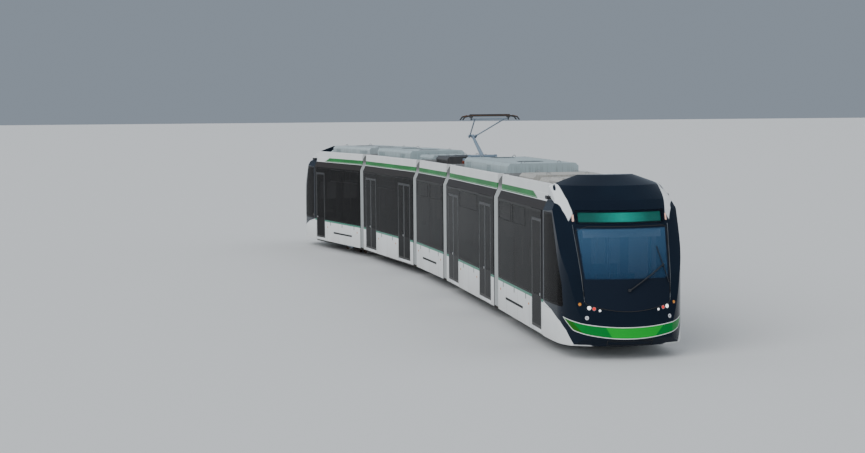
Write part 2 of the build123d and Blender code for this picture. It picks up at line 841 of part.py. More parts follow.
# Middle section
middle_windows = [(-middle_end, 0), (0, middle_end)]
middle_walls = side_walls(-middle_end, middle_end, [], middle_windows, 0)
middle_glass = glazing_panes(middle_windows, [], [])
plate_x = middle_end - roof_end_plate / 2
middle_roof = roof(-middle_end, middle_end, [-plate_x, plate_x])
with BuildPart() as middle_floor:
    add(bogie_floor(-middle_end + seat_gap, middle_end - seat_gap, 0))
    add(turntable(middle_length / 2, 1))
    add(turntable(-middle_length / 2, -1))
with BuildPart() as middle_seats:
    for seat_x, facing in ((-850, 1), (850, -1)):
        for seat_y in (-1180, 300):
            add(seat_row(seat_x, facing, seat_y, well_top_z + well_wall + seat_gap, 40))
with BuildPart() as middle_bogie:
    add(bogie(0))
with BuildPart() as middle_gear:
    add(roof_case(-850, 1500, 1500, 330, louvres=[(-1480, 23)], fans=[-1250, -450]))
keep("middle_floor", "middle", middle_floor)
keep("middle_sides", "middle", middle_walls)
keep("middle_roof", "middle", middle_roof)
keep("middle_glass", "middle", middle_glass)
keep("middle_seats", "middle", middle_seats)
keep("middle_bogie", "middle", middle_bogie)
keep("middle_roof_gear", "middle", middle_gear)

# Pantograph, raised as it stands under the wire
knee_x = mast_base_x - lower_arm_length * cos(radians(lower_arm_angle))
knee_z = mast_base_z + lower_arm_length * sin(radians(lower_arm_angle))
head_x = knee_x + upper_arm_length * cos(radians(upper_arm_angle))
head_z = knee_z + upper_arm_length * sin(radians(upper_arm_angle))
rod_base_x, rod_base_z = mast_base_x - rod_base_back, mast_base_z - rod_base_drop
rod_eye_x = knee_x - tail_length * cos(radians(tail_angle))
rod_eye_z = knee_z - tail_length * sin(radians(tail_angle))


def bar(start, finish, radius, y, taper=0):
    """A round bar between two points of the pantograph's own upright plane, at a distance y from it."""
    line = Vector(finish[0] - start[0], 0, finish[1] - start[1])
    with BuildPart() as built:
        with BuildSketch(Plane(origin=(start[0], y, start[1]), x_dir=(0, 1, 0), z_dir=line.normalized())):
            Circle(radius)
        extrude(amount=line.length, taper=taper)
    return built.part


def cross_bar(x, z, low_y, high_y, radius):
    """A round bar across the tram."""
    with BuildPart() as built:
        with BuildSketch(Plane.XZ.offset(-high_y)):
            with Locations((x, z)):
                Circle(radius)
        extrude(amount=high_y - low_y)
    return built.part


with BuildPart() as panto_base:
    for side in (-1, 1):
        with Locations((mast_base_x - 250, side * 380, mast_base_z - 110)):
            Box(900, 60, 70)
        with BuildSketch(Plane.XZ.offset(-side * 380 - 30)):
            with BuildLine():
                Polyline(
                    (mast_base_x - 110, mast_base_z - 100),
                    (mast_base_x + 110, mast_base_z - 100),
                    (mast_base_x + 50, mast_base_z + 50),
                    (mast_base_x - 50, mast_base_z + 50),
                    close=True,
                )
            make_face()
            with Locations((mast_base_x, mast_base_z)):
                Circle(mast_pin_radius + running_gap, mode=Mode.SUBTRACT)
        extrude(amount=60)
        for foot_x in (mast_base_x - 640, mast_base_x + 140):
            with BuildSketch(Plane.XY.offset(deck_z + seat_gap)):
                with Locations((foot_x, side * 380)):
                    Circle(45)
            extrude(amount=mast_base_z - 110 - deck_z - seat_gap)
    for bar_x in (mast_base_x - 640, mast_base_x + 140):
        with Locations((bar_x, 0, mast_base_z - 110)):
            Box(60, 800, 60)
    with Locations((rod_base_x, 0, mast_base_z - 130)):
        Box(70, 800, 60)
    with BuildSketch(Plane.XZ.offset(-rod_y - 35)):
        with Locations((rod_base_x, rod_base_z)):
            Circle(26)
        with Locations((rod_base_x, rod_base_z - 40)):
            Rectangle(52, 80)
    extrude(amount=16)
    add(cross_bar(rod_base_x, rod_base_z, rod_y - 20, rod_y + 30, rod_pin_radius))
with BuildPart() as lower_arm:
    add(bar((mast_base_x, mast_base_z), (knee_x, knee_z), arm_root_radius, 0, taper=0.8))
    add(cross_bar(mast_base_x, mast_base_z, -410, 410, mast_pin_radius))
    add(cross_bar(mast_base_x, mast_base_z, -340, 340, 45))
    add(cross_bar(knee_x, knee_z, -40, 40, 48))
    add(cross_bar(knee_x, knee_z, -130, 130, knee_pin_radius))
arm_turn = radians(upper_arm_angle)
with BuildPart() as upper_arm:
    for side in (-1, 1):
        with BuildSketch(Plane.XZ.offset(-side * knee_plate_y - knee_plate / 2)):
            with Locations((knee_x, knee_z)):
                Circle(42)
            with BuildLine():
                Polyline(
                    (knee_x - 30, knee_z + 30),
                    (rod_eye_x - 18, rod_eye_z + 8),
                    (rod_eye_x + 12, rod_eye_z - 16),
                    (knee_x, knee_z - 42),
                    (knee_x + 120, knee_z + 10),
                    (knee_x + 120, knee_z + 50),
                    close=True,
                )
            make_face()
            with Locations((rod_eye_x, rod_eye_z)):
                Circle(20)
            with Locations((knee_x, knee_z)):
                Circle(knee_pin_radius + running_gap, mode=Mode.SUBTRACT)
        extrude(amount=knee_plate)
        with BuildSketch(
            Plane(
                origin=(knee_x + 60 * cos(arm_turn), side * knee_plate_y, knee_z + 60 * sin(arm_turn)),
                x_dir=(0, 1, 0),
                z_dir=(cos(arm_turn), side * 0.16, sin(arm_turn)),
            )
        ):
            Circle(18)
        extrude(amount=(upper_arm_length - 60) * 1.0127)
    add(cross_bar(rod_eye_x, rod_eye_z, rod_y - 18, knee_plate_y + 5, tail_pin_radius))
    add(cross_bar(head_x, head_z, -545, 545, 14))
with BuildPart() as head:
    for offset_x in (-160, 160):
        with BuildSketch(Plane.YZ.offset(head_x + offset_x - 20)):
            with BuildLine():
                Polyline(
                    (0, head_z + 100),
                    (600, head_z + 100),
                    (760, head_z + 60),
                    (820, head_z - 20),
                    (790, head_z - 30),
                    (735, head_z + 40),
                    (590, head_z + 70),
                    (0, head_z + 70),
                    close=True,
                )
            make_face()
            mirror(about=Plane.YZ)
        extrude(amount=40)
    for side in (-1, 1):
        with Locations((head_x, side * 530, head_z + 55)):
            Box(340, 24, 40)
        with BuildSketch(Plane.XZ.offset(-side * 530 - 12)):
            with Locations((head_x, head_z + 15)):
                Rectangle(60, 90)
            with Locations((head_x, head_z)):
                Circle(14 + running_gap, mode=Mode.SUBTRACT)
        extrude(amount=24)
with BuildPart() as thrust_rod:
    add(bar((rod_base_x, rod_base_z), (rod_eye_x, rod_eye_z), rod_radius, rod_y))
    for eye_x, eye_z, eye_radius in ((rod_base_x, rod_base_z, 24), (rod_eye_x, rod_eye_z, 20)):
        add(cross_bar(eye_x, eye_z, rod_y - rod_eye_width / 2, rod_y + rod_eye_width / 2, eye_radius))
    for eye_x, eye_z, bore in (
        (rod_base_x, rod_base_z, rod_pin_radius + running_gap),
        (rod_eye_x, rod_eye_z, tail_pin_radius + eye_play),
    ):
        add(cross_bar(eye_x, eye_z, rod_y - rod_eye_width, rod_y + rod_eye_width, bore), mode=Mode.SUBTRACT)
keep("pantograph_base", "middle", panto_base)
keep("pantograph_lower_arm", "middle", lower_arm)
keep("pantograph_upper_arm", "middle", upper_arm)
keep("pantograph_head", "middle", head)
keep("pantograph_rod", "middle", thrust_rod)


def placed(section):
    """Where a section's own frame lies: the middle one at the origin, the others chained at their pivots."""
    turn = {name: radians(angle) for name, angle in heading.items()}
    fore_pivot = (middle_length / 2, 0)
    aft_pivot = (-middle_length / 2, 0)
    step = door_section_length / 2
    fore = (fore_pivot[0] + step * cos(turn["fore"]), fore_pivot[1] + step * sin(turn["fore"]))
    aft = (aft_pivot[0] - step * cos(turn["aft"]), aft_pivot[1] - step * sin(turn["aft"]))
    spots = {
        "middle": (0, 0, 0),
        "fore": (*fore, heading["fore"]),
        "aft": (*aft, heading["aft"]),
        "front": (2 * fore[0] - fore_pivot[0], 2 * fore[1] - fore_pivot[1], heading["front"]),
        "rear": (2 * aft[0] - aft_pivot[0], 2 * aft[1] - aft_pivot[1], heading["rear"] + 180),
    }
    x, y, angle = spots[section]
    return Location((x, y, 0), (0, 0, angle))


wheel_spots = [
    ("front", end_bogie_x + wheelbase / 2),
    ("front", end_bogie_x - wheelbase / 2),
    ("middle", wheelbase / 2),
    ("middle", -wheelbase / 2),
    ("rear", end_bogie_x - wheelbase / 2),
    ("rear", end_bogie_x + wheelbase / 2),
]
for number, (section, x) in enumerate(wheel_spots, start=1):
    with BuildPart() as turned:
        add(Location((x, 0, 0)) * wheelset.part)
    keep("wheelset_" + str(number), section, turned)


def bellows(pivot, ahead, behind):
    """The folded gangway cover at one pivot, an arch of ridges and valleys between two sections' ends."""
    ahead_turn, behind_turn = radians(ahead), radians(behind)
    gap = pivot_gap - seat_gap
    with BuildPart() as built:
        for step in range(2 * folds + 1):
            t = step / (2 * folds)
            back, front = (1 - t) ** 2, t**2
            x = pivot.X + gap * (front * cos(ahead_turn) - back * cos(behind_turn))
            y = pivot.Y + gap * (front * sin(ahead_turn) - back * sin(behind_turn))
            turn = radians((1 - t) * behind + t * ahead)
            across = Plane(origin=(x, y, 0), x_dir=(-sin(turn), cos(turn), 0), z_dir=(cos(turn), sin(turn), 0))
            dip = fold_depth * (step % 2)
            outer_y, shoulder_y, top_z = half - bellows_inset - dip, cove_y - 40 - dip, bellows_top_z - dip
            with BuildSketch(across) as arch:
                with BuildLine():
                    Polyline(
                        (0, top_z),
                        (shoulder_y - 60, top_z),
                        (shoulder_y, top_z - 70),
                        (cove_y - bellows_inset - dip, cant_z),
                        (outer_y, window_top_z),
                        (outer_y, skirt_z + 30),
                        (outer_y - fold_wall, skirt_z + 30),
                        (outer_y - fold_wall, window_top_z),
                        (cove_y - bellows_inset - dip - fold_wall, cant_z),
                        (shoulder_y - fold_wall, top_z - 90),
                        (shoulder_y - 60 - fold_wall / 2, top_z - fold_wall),
                        (0, top_z - fold_wall),
                        close=True,
                    )
                make_face()
                mirror(about=Plane.YZ)
        loft(ruled=True)
    return built


front_pivot = placed("front").position
rear_pivot = placed("rear").position
fore_pivot = Vector(middle_length / 2, 0)
aft_pivot = Vector(-middle_length / 2, 0)
joins = [
    ("bellows_front", front_pivot, "front", "fore"),
    ("bellows_fore", fore_pivot, "fore", "middle"),
    ("bellows_aft", aft_pivot, "middle", "aft"),
    ("bellows_rear", rear_pivot, "aft", "rear"),
]
for name, pivot, ahead, behind in joins:
    pieces[name] = (bellows(pivot, heading[ahead], heading[behind]).part, None)

# Set every piece on the curve, the whole tram centred over the origin
turned = {name: part if where is None else placed(where) * part for name, (part, where) in pieces.items()}
boxes = [part.bounding_box() for part in turned.values()]
shift_x = -(min(box.min.X for box in boxes) + max(box.max.X for box in boxes)) / 2
shift_y = -(min(box.min.Y for box in boxes) + max(box.max.Y for box in boxes)) / 2
os.makedirs("parts", exist_ok=True)
for name, part in turned.items():
    moved = Location((shift_x, shift_y, 0)) * part
    moved.label = name
    export_step(moved, "parts/" + name + ".step")
print(len(turned), "pieces, shifted by", round(shift_x, 3), round(shift_y, 3))
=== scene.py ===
# %% [markdown]
# # An articulated tram
# The object is a five-section low-floor tram that stands in a gentle curve: glossy black cabs, white
# coachwork with a green roof stripe, flush dark glazing, grey gangway bellows and a raised pantograph. Its
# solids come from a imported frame. This lesson dresses them: it gives every solid a procedural finish and
# adds the small pieces.

# %% Load the frame
import json
from math import copysign, cos, pi, radians, sin, sqrt

import bmesh
import bpy
from mathutils import Matrix, Vector


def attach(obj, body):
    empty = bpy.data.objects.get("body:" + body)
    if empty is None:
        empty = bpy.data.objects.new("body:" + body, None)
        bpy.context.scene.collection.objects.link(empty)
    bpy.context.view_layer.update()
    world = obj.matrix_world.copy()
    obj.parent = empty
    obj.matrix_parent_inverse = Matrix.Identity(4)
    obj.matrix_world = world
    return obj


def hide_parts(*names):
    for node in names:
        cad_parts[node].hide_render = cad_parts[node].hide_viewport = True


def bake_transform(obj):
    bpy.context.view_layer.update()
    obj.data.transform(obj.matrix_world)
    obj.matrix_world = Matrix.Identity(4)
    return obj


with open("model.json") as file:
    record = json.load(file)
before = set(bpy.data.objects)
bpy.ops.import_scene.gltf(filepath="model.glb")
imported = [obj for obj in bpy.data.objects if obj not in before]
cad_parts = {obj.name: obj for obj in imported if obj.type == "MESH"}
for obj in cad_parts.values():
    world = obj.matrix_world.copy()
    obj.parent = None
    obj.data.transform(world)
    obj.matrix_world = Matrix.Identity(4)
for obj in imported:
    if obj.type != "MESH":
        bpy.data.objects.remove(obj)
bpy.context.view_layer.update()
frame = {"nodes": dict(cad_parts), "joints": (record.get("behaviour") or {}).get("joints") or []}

# %% [markdown]
# ## Where each section stands
# Every section of the tram is drawn in its own frame, X along it, so that one helper can dress all five. The
# pivots in the frame say where the sections' frames lie. The end sections start at their pivot and point to
# their noses; the others are centred between two pivots. Lengths are in metres.

# %% Places of the five sections
headings = {"front": -2.9, "fore": -1.9, "middle": 0.0, "aft": 4.4, "rear": 190.5}  # degrees
pivots = {joint["name"]: Vector(joint["pos_m"]) for joint in frame["joints"]}
origins = {
    "front": pivots["front_pivot"],
    "fore": (pivots["front_pivot"] + pivots["fore_pivot"]) / 2,
    "middle": (pivots["fore_pivot"] + pivots["aft_pivot"]) / 2,
    "aft": (pivots["aft_pivot"] + pivots["rear_pivot"]) / 2,
    "rear": pivots["rear_pivot"],
}
places = {
    name: Matrix.Translation((spot.x, spot.y, 0)) @ Matrix.Rotation(radians(headings[name]), 4, "Z")
    for name, spot in origins.items()
}
cabs = ("front", "rear")  # the sections that end in a cab


def by_section(ends, saloons, middle):
    """A table with one entry for both end sections, one for both door sections and one for the middle."""
    return {"front": ends, "fore": saloons, "middle": middle, "aft": saloons, "rear": ends}


reach = by_section((0.27, 5.0), (-3.03, 3.03), (-1.83, 1.83))
doors = by_section([(3.91, 4.82)], [(-2.71, -1.35), (1.35, 2.71)], [])
both = (-1, 1)  # the two sides, or the two ends
half = 1.325  # half the body's width
waist, window_top = 1.04, 2.915
stripe_low, stripe_high = 3.112, 3.252
deck = 3.2803  # the roof's flat top
nose_axis = 4.7  # the face is turned about an upright line, this far ahead of the pivot
axle_height, wheel_half_base = 0.325, 0.9
print({name: [round(v, 3) for v in spot] for name, spot in origins.items()})

# %% [markdown]
# ## The camera
# A long lens looks at the nose and along the right-hand side from about 32 m away and 5 m up. Its place was
# worked out from the sections' joints, door edges and rooflines, and is written in the front section's frame.

# %% Camera
lens_px, frame_px = 1688.6, 865  # the lens and the picture's width, both in pixels
camera_spot = Vector((39.187, -9.173, 5.127))
yaw, pitch, roll = radians(170.82 + headings["front"]), 0.0723, -0.0089
camera_data = bpy.data.cameras.new("camera")
camera_data.sensor_width = 36.0
camera_data.lens = lens_px / frame_px * camera_data.sensor_width
camera_data.clip_end = 500
camera = bpy.data.objects.new("camera", camera_data)
bpy.context.scene.collection.objects.link(camera)
bpy.context.scene.camera = camera
forward = Vector((cos(yaw) * cos(pitch), sin(yaw) * cos(pitch), -sin(pitch)))
level = Vector((sin(yaw), -cos(yaw), 0))
upward = level.cross(forward)
right = cos(roll) * level + sin(roll) * upward
top = cos(roll) * upward - sin(roll) * level
turn = Matrix((right, top, -forward)).transposed().to_4x4()
camera.matrix_world = Matrix.Translation(places["front"] @ camera_spot) @ turn
print("camera at", [round(v, 2) for v in camera.location], "lens", round(camera_data.lens, 2))

# %% [markdown]
# ## Floor and light
# The tram stands on a plain pale floor. Four very soft distant lamps light it evenly over its whole length,
# as in a large studio, and a faint pale sky fills the shadows.

# %% Floor and lamps
floor_mesh = bpy.data.meshes.new("studio_floor")
floor_bm = bmesh.new()
bmesh.ops.create_grid(floor_bm, x_segments=1, y_segments=1, size=900)
floor_bm.to_mesh(floor_mesh)
floor_bm.free()
pale = bpy.data.materials.new("pale_floor")
pale.use_nodes = True
pale_sockets = pale.node_tree.nodes["Principled BSDF"].inputs
pale_sockets["Base Color"].default_value = (0.62, 0.63, 0.63, 1)
pale_sockets["Roughness"].default_value = 0.9
floor_mesh.materials.append(pale)
studio_floor = bpy.data.objects.new("studio_floor", floor_mesh)
bpy.context.scene.collection.objects.link(studio_floor)
world = bpy.data.worlds.new("studio")
world.use_nodes = True
sky_sockets = world.node_tree.nodes["Background"].inputs
sky_sockets["Color"].default_value = (0.72, 0.84, 1.0, 1)
sky_sockets["Strength"].default_value = 0.34
bpy.context.scene.world = world
lamps_table = [
    # name, direction that it shines from, spread in degrees, power
    ("key", (20, -26, 24), 50, 2.1),
    ("fill", (10, 30, 18), 80, 0.6),
    ("tail", (-34, -10, 16), 80, 0.6),
    ("sky", (0, 0, 28), 110, 1.0),
]
for name, place, spread, power in lamps_table:
    light = bpy.data.lights.new(name, "SUN")
    light.angle, light.energy = radians(spread), power
    lamp = bpy.data.objects.new(name, light)
    lamp.location = place
    lamp.rotation_euler = (Vector() - Vector(place)).to_track_quat("-Z", "Y").to_euler()
    lamp.visible_glossy = False  # the black cab stays deep: its gloss shows the floor and sky, not the lamps
    bpy.context.scene.collection.objects.link(lamp)
print(len(lamps_table), "lamps")

# %% [markdown]
# ## Shader maths
# Real finishes differ from place to place: a stripe at one height, dust near the ground, a panel joint every
# metre. Each of these is a sum on the point's own coordinates. A small class wraps a socket, so that such a
# sum is written as ordinary Python and adds its nodes by itself.


# %% A wire is one socket
class Wire:
    """One socket of a node tree; arithmetic on it adds Math nodes."""

    def __init__(self, tree, socket):
        self.tree, self.socket = tree, socket

    def node(self, kind, sockets, out=0, **settings):
        """Adds a node, fills its sockets with values or wires, and returns one of its outputs."""
        made = self.tree.nodes.new(kind)
        for name, value in settings.items():
            setattr(made, name, value)
        for key, value in sockets.items():
            if isinstance(value, Wire):
                self.tree.links.new(value.socket, made.inputs[key])
            else:
                made.inputs[key].default_value = value
        return Wire(self.tree, made.outputs[out])

    def math(self, operation, *others):
        return self.node("ShaderNodeMath", dict(enumerate((self, *others))), operation=operation)

    def __add__(self, other):
        return self.math("ADD", other)

    def __sub__(self, other):
        return self.math("SUBTRACT", other)

    def __rsub__(self, other):
        return self.node("ShaderNodeMath", {0: other, 1: self}, operation="SUBTRACT")

    def __mul__(self, other):
        return self.math("MULTIPLY", other)

    def __truediv__(self, other):
        return self.math("DIVIDE", other)

    __radd__, __rmul__ = __add__, __mul__

    def above(self, limit, soft=0.002):
        """1 where this is above the limit, 0 below it, with a short slope between."""
        return self.node("ShaderNodeMapRange", {0: self, 1: limit - soft, 2: limit + soft})

    def below(self, limit, soft=0.002):
        return 1 - self.above(limit, soft)

    def between(self, low, high, soft=0.002):
        return self.above(low, soft) * self.below(high, soft)

    def past(self, limit):
        """How far this is past the limit, and 0 short of it."""
        return (self - limit).math("MAXIMUM", 0.0)

    def size(self):
        return self.math("ABSOLUTE")

    def across(self, other):
        """The length of a line that reaches this far one way and the other far the other way."""
        return (self * self + other * other).math("SQRT")

    def wave(self, pitch, share, soft=0.02):
        """1 in a strip of each pitch, as wide as that share of it."""
        return ((self / pitch).math("FRACT") - 0.5).size().above(0.5 - share / 2, soft)

    def either(self, other):
        return self.math("MAXIMUM", other)

    def least(self, other):
        return self.math("MINIMUM", other)


def noise(coords, scale, detail=3.0):
    """A soft random value from 0 to 1 on object coordinates, in features per metre."""
    sockets = {"Vector": coords, "Scale": scale, "Detail": detail, "Roughness": 0.55}
    return coords.node("ShaderNodeTexNoise", sockets)


def tinted(mask, low, high):
    """The colour low where the mask is 0, high where it is 1."""
    ends = [value if isinstance(value, Wire) else (*value, 1) for value in (low, high)]
    return mask.node("ShaderNodeMix", {0: mask, 6: ends[0], 7: ends[1]}, 2, data_type="RGBA")


def layered(paint, *coats):
    """Lays coats over a paint, one after another, each a mask and its colour."""
    for mask, colour in coats:
        paint = tinted(mask, paint, colour)
    return paint


# %% [markdown]
# A finish is a Principled shader and a mix: a function that turns the point's place into values or wires for
# the shader's sockets. For coachwork the place is measured in the section's own frame, with a Mapping node
# that undoes the section's turn, so a stripe or a seam bends with it.


# %% From a mix to a finish
def finish(name, mix, section=None, key=None):
    """A new material from a mix. The mix is told the section, or else the key, and where the point is."""
    material = bpy.data.materials.new(name)
    material.use_nodes = True
    tree = material.node_tree
    coords = Wire(tree, tree.nodes.new("ShaderNodeTexCoord").outputs["Object"])
    if section:
        spot = origins[section]
        turned = {0: coords, 1: (spot.x, spot.y, 0), 2: (0, 0, radians(headings[section]))}
        coords = coords.node("ShaderNodeMapping", turned, vector_type="TEXTURE")
    parts = [coords.node("ShaderNodeSeparateXYZ", {0: coords}, axis) for axis in range(3)]
    values = mix(section or key, coords, *parts)
    height, depth = values.pop("bump"), values.pop("bump_depth", 0.002)
    raised = {"Strength": 0.6, "Distance": depth, "Height": height}
    values["Normal"] = height.node("ShaderNodeBump", raised)
    for label, value in values.items():
        socket = tree.nodes["Principled BSDF"].inputs[label.replace("_", " ")]
        if isinstance(value, Wire):
            tree.links.new(value.socket, socket)
        else:
            socket.default_value = (*value, 1) if isinstance(value, tuple) else value
    return material


def dress(node, material):
    """Gives a solid of the frame its finish."""
    data = frame["nodes"][node].data
    data.materials.clear()
    data.materials.append(material)


white = (0.78, 0.80, 0.80)
# In the cab's green band, the leaf green is a painted highlight, the olive green is painted shade and the
# deep green is the band's own colour.
highlight_leaf_green = (0.004, 0.38, 0.034)
deep_green = (0.004, 0.20, 0.032)
shade_olive_green = (0.016, 0.13, 0.010)
stripe_green = (0.003, 0.16, 0.024)
teal = (0.006, 0.20, 0.12)
ink = (0.006, 0.009, 0.016)


def striped(section, paint, stripe, x, z):
    """Lays the green stripe over a paint. Towards a cab it ends in a slanted cut."""
    if section in cabs:
        stripe = stripe * (x + (z - 3.169) * 3.5).below(3.91, 0.004)
    return tinted(stripe, paint, tinted(x.wave(2.9, 0.35, 0.05), stripe_green, deep_green))


# %% [markdown]
# ## Coachwork
# The walls are white below the waist, with a thin teal line under the windows, and dark behind the flush
# glass. Inside they are pale grey trim. Road film gathers low down, so the white turns a little brown and
# dull there.


# %% Walls
def coachwork(section, coords, x, y, z):
    film = noise(coords, 1.3, 5) * z.below(0.62, 0.33) * 0.55
    fleck = noise(coords, 40, 2)
    out = y.size() + z.past(window_top) * 0.465  # the walls lean in above the windows
    outside = out.above(half - 0.009)
    upper = z.above(waist, 0.003)
    seam = x.wave(1.22, 0.005, 0.001) * (1 - upper)
    paint = layered(
        tinted(film, white, (0.32, 0.29, 0.25)),
        (z.between(0.982, waist), teal),
        (upper, (0.018, 0.016, 0.015)),
        (z.above(window_top), (0.028, 0.023, 0.020)),
        (z.above(stripe_low - 0.014), white),
    )
    paint = striped(section, paint, z.above(stripe_low), x, z)
    paint = tinted(seam, paint, (0.05, 0.05, 0.05))
    inner = tinted(noise(coords, 9, 4), (0.42, 0.43, 0.43), (0.50, 0.51, 0.51))
    # Near black on the sides of the window and door openings and on the floors of the slots under the waist:
    # dark trim there, and painted shade deep in the slots.
    reveal_and_slot_shade = out.between(half - 0.066, half - 0.009)  # the edges of the window and door openings
    inner = tinted(reveal_and_slot_shade, inner, (0.030, 0.030, 0.032))
    return dict(
        bump=fleck * 0.04 - seam + noise(coords, 3, 2) * 0.3,
        Base_Color=tinted(outside, inner, paint),
        Roughness=0.34 + film * 0.5 + (1 - outside) * 0.25 + fleck * 0.05,
        Coat_Weight=outside * (1 - upper) * 0.35,
        Coat_Roughness=0.06, IOR=1.25, Specular_IOR_Level=0.4,
    )


# %% [markdown]
# The roof's white cove carries the green stripe, which begins on the walls, and above it a fine pale line, a
# painted highlight along the stripe's upper edge.
# Between the coves lies a flat grey deck with a gritty walkway.


# %% Roofs
def roofing(section, coords, x, y, z):
    side = y.size().above(1.06, 0.01)
    dust = noise(coords, 1.7, 6)
    grit = noise(coords, 160, 2)
    cove = tinted(dust * 0.35, white, (0.46, 0.45, 0.42))
    cove = striped(section, cove, z.between(stripe_low, stripe_high), x, z)
    # A thin line brighter than the white, just above the stripe: a painted highlight.
    cove = tinted(z.between(stripe_high, stripe_high + 0.008), cove, (0.9, 0.92, 0.9))
    walkway = tinted(grit * dust, (0.20, 0.21, 0.22), (0.42, 0.42, 0.41))
    ceiling = tinted(dust, (0.60, 0.61, 0.61), (0.70, 0.71, 0.70))
    return dict(
        bump=x.wave(1.1, 0.006, 0.001) * -1 + grit * 0.15 * (1 - side),
        Base_Color=tinted(z.below(3.135, 0.003), tinted(side, walkway, cove), ceiling),
        Roughness=0.75 - side * 0.42 + dust * 0.12, Coat_Weight=side * 0.08,
        Coat_Roughness=0.08, IOR=1.28,
    )


# %% [markdown]
# ## The cab
# One glossy near-black skin runs over the face and the roof's front. White shoulders reach forward from the
# roof coves to a point beside the destination display, and the white lower panel ends in a curve behind the
# corner. Both are drawn from lines in the side view: height against distance along the cab. The green band
# bends round the nose, so its edges are heights against the angle about the nose's upright line.

# %% Cab skin and bumper
panel_lines = [  # the white panel's upper edge, the lowest of these lines: from x, height there, slope
    (4.84, 1.046, 0.154), (5.643, 0.922, 0.31), (6.213, 0.745, 0.73), (6.427, 0.588, 1.38),
]


def cab_skin(section, coords, x, y, z):
    bend, drop = x.past(5.6), x.past(5.7)
    shoulder_inner = 1.05 - (x - 5.36) * 0.05 - bend * bend * 0.2
    shoulder_low = 3.22 - (x - 5.08) * 0.2 - drop * drop * 1.66
    shoulder = (y.size() - shoulder_inner).above(0, 0.004) * (z - shoulder_low).above(0, 0.004)
    shoulder = shoulder * x.below(6.10, 0.01)
    rise = z - 3.39  # above the middle of the small slanted port in each shoulder
    port = (rise / 0.06).across((x - 5.228 + rise * 2.083) / 0.045)
    shoulder = shoulder * port.above(1.0, 0.06).either(y.size().below(1.0, 0.01))
    edges = [height - (x - start) * slope for start, height, slope in panel_lines]
    edge = edges[0].least(edges[1]).least(edges[2]).least(edges[3])
    wedge = z.below(0.318, 0.004) * x.below(6.76, 0.01)
    lower = (edge - z).above(0, 0.004).either(wedge)
    angle = y.math("ARCTAN2", x - nose_axis) * (180 / pi)
    turned = angle.size()
    band_high = 0.68 + (turned / 43.5).math("POWER", 2.0) * 0.24
    band_low = 0.44 + (turned / 29.6).math("POWER", 2.0) * 0.16 + turned.past(29.6) * 0.0215
    depth = (band_high - z).least(z - band_low)
    band = depth.above(0.014)
    # Across the band: a lighter green in the middle of the face and on the lit side beyond the corner is a
    # painted highlight, and a darker green where the band turns that corner is painted shade.
    middle = (angle + 11 + (z - 0.58) * 15).above(0, 0.3) * (15 + (z - 0.58) * 22 - angle).above(0, 0.3)
    slanted = angle + (z - 0.6) * 30
    band_highlight = middle.either(slanted.below(-29, 0.3))
    band_fold_shade = slanted.between(-29, -25, 0.3)
    film = noise(coords, 1.5, 5) * z.below(0.6, 0.3) * 0.5
    gloss = tinted(noise(coords, 0.8, 2), ink, (0.009, 0.017, 0.030))
    seam = x.between(5.095, 5.101, 0.001) * z.above(3.0, 0.01)
    seam = seam.either(z.between(0.928, 0.932, 0.001) * x.below(6.4, 0.02))
    paint = layered(
        tinted(shoulder.either(lower), gloss, tinted(film, white, (0.36, 0.33, 0.29))),
        (band, layered(deep_green, (band_highlight, highlight_leaf_green), (band_fold_shade, shade_olive_green))),
        (depth.above(0) * (1 - band), (0.80, 0.84, 0.80)),
        (seam, (0.02, 0.02, 0.02)),
    )
    return dict(
        bump=noise(coords, 6, 2) * 0.10 - seam, bump_depth=0.003, Base_Color=paint,
        Roughness=0.09 + film * 0.5 + noise(coords, 30, 2) * 0.05,
        Coat_Weight=0.16 - film * 0.14,
        Coat_Roughness=0.03, Coat_IOR=1.25, IOR=1.22, Specular_IOR_Level=0.3,
    )


# %% [markdown]
# ## Glass
# The side panes are dark tinted glass that lets a little of the saloon through; the windscreen is clearer and
# bluish above the desk, growing lighter towards its top as a painted sky reflection, and opaque below it and
# around its edge, where a ceramic border hides the glue.


# %% Panes
def glazing(section, coords, x, y, z):
    grime = noise(coords, 2.2, 6)
    base = tinted(grime, (0.006, 0.006, 0.007), (0.014, 0.013, 0.013))
    solid = 0.76 + z.above(window_top - 0.055, 0.006).either(z.below(waist + 0.05, 0.006)) * 0.24
    if section in cabs:
        face = x.above(6.12, 0.05) * y.size().below(1.0, 0.01)
        clear = z.between(1.63, 2.60, 0.01) * (y.size() - (z - 1.63) * 0.06).below(0.855, 0.006)
        display = z.above(2.66, 0.01)
        # The windscreen's colour grows lighter towards its top: a painted sky reflection over its bluish
        # tint.
        screen = tinted(z.above(2.1, 0.5), (0.022, 0.055, 0.11), (0.055, 0.13, 0.23))
        base = layered(base, (face, (0.012, 0.017, 0.028)), (face * clear, screen))
        solid = solid * (1 - face) + face * (1 - clear * 0.42) * (1 - display * 0.72)
    return dict(
        bump=noise(coords, 1.1, 1) * 0.25, bump_depth=0.004, Base_Color=base,
        Roughness=0.03 + grime * 0.05, IOR=1.07, Alpha=solid,
    )


# %% [markdown]
# ## Floors, doors, seats and running gear
# These are seen through the glass or under the skirts. Each still has the grain of its real surface: speckled
# rubber flooring, satin door frames, moquette on the seats, oily steel on the bogies and a bright running
# tread.


